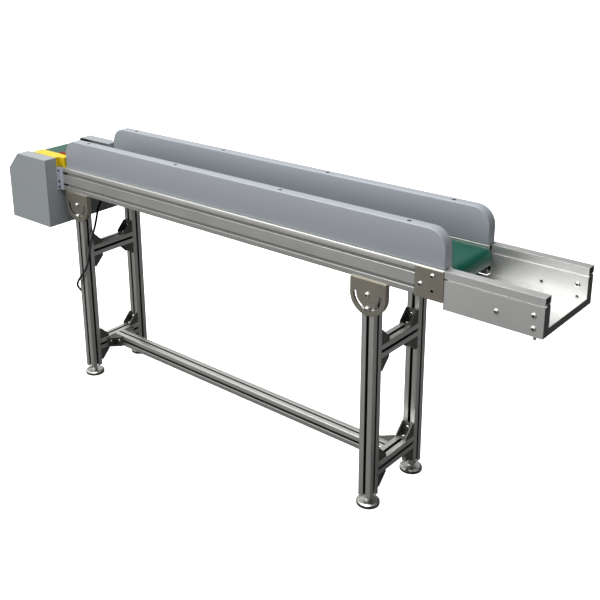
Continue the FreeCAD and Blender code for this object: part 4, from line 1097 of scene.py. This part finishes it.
# %% [markdown]
# ## Surround and lights
# Metal looks like what it reflects, so the surround is a room, bright above and to the left and
# front and dim behind on the right.  Its brightness is a base plus one weight for each axis of
# the direction, never under a small least value.  One large soft light hangs above, and a
# weaker one stands in front on the left.

# %% Surround and lights
ROOM_BASE, ROOM_LEAST = 0.28, 0.05
ROOM_WEIGHTS = {"Z": 0.70, "X": -0.64, "Y": -0.60}


def surround():
    """White to the camera; to the surfaces, the base plus each axis times its weight."""
    world = bpy.data.worlds.new("surround")
    bpy.context.scene.world = world
    world.use_nodes = True
    tree = world.node_tree
    back = tree.nodes["Background"]
    where = tree.nodes.new("ShaderNodeTexCoord").outputs["Generated"]
    split = tree.nodes.new("ShaderNodeSeparateXYZ")
    tree.links.new(where, split.inputs[0])
    level = ROOM_BASE
    for axis, weight in ROOM_WEIGHTS.items():
        level = maths(tree, "MULTIPLY_ADD", split.outputs[axis], weight, level)
    lit = maths(tree, "MAXIMUM", level, ROOM_LEAST)
    tree.links.new(by_ray(tree, "FLOAT", lit, 1.0)[0], back.inputs["Strength"])
    back.inputs["Color"].default_value = WHITE


def soft_light(name, at, aim, size, power):
    """A rectangular area light that looks at a point."""
    data = bpy.data.lights.new(name, "AREA")
    data.shape = "RECTANGLE"
    data.size, data.size_y = size
    data.energy = power
    light = bpy.data.objects.new(name, data)
    light.location = at
    light.rotation_euler = (Vector(aim) - Vector(at)).to_track_quat("-Z", "Y").to_euler()
    bpy.context.scene.collection.objects.link(light)


surround()
soft_light("top_light", (-0.2, -0.3, 3.6), (0, 0, 0.6), (4.0, 2.4), 140)
soft_light("front_light", (-1.6, -3.6, 1.9), (0.1, 0, 0.5), (2.4, 2.0), 44)
print("surround and", len(bpy.data.lights), "lights")

# %% [markdown]
# ## Camera
# The picture is taken from the front and right of the tray, from well above the guards.  The
# lens is a mild telephoto, its axis is given by yaw, pitch and a slight roll, and the shift
# frames the conveyor without turning the camera.

# %% Camera
CAMERA_AT = (1.7873, -1.9856, 1.6332)
YAW, PITCH, ROLL = (math.radians(angle) for angle in (43.33, 18.13, -1.57))
LENS, SENSOR, SHIFT_X, SHIFT_Y = 56.93, 36.0, 0.1225, -0.1615
forward = Vector((-math.sin(YAW) * math.cos(PITCH), math.cos(YAW) * math.cos(PITCH),
                  -math.sin(PITCH)))
right = Vector((math.cos(YAW), math.sin(YAW), 0))
up = right.cross(forward)
rolled_right = math.cos(ROLL) * right + math.sin(ROLL) * up
rolled_up = -math.sin(ROLL) * right + math.cos(ROLL) * up
lens = bpy.data.cameras.new("camera")
lens.lens, lens.sensor_width = LENS, SENSOR
lens.shift_x, lens.shift_y = SHIFT_X, SHIFT_Y
camera = bpy.data.objects.new("camera", lens)
camera.matrix_world = Matrix((rolled_right, rolled_up, -forward)).transposed().to_4x4()
camera.location = CAMERA_AT
bpy.context.scene.collection.objects.link(camera)
bpy.context.scene.camera = camera
bpy.context.scene.view_settings.view_transform = "Standard"
print("camera", LENS, "mm lens")
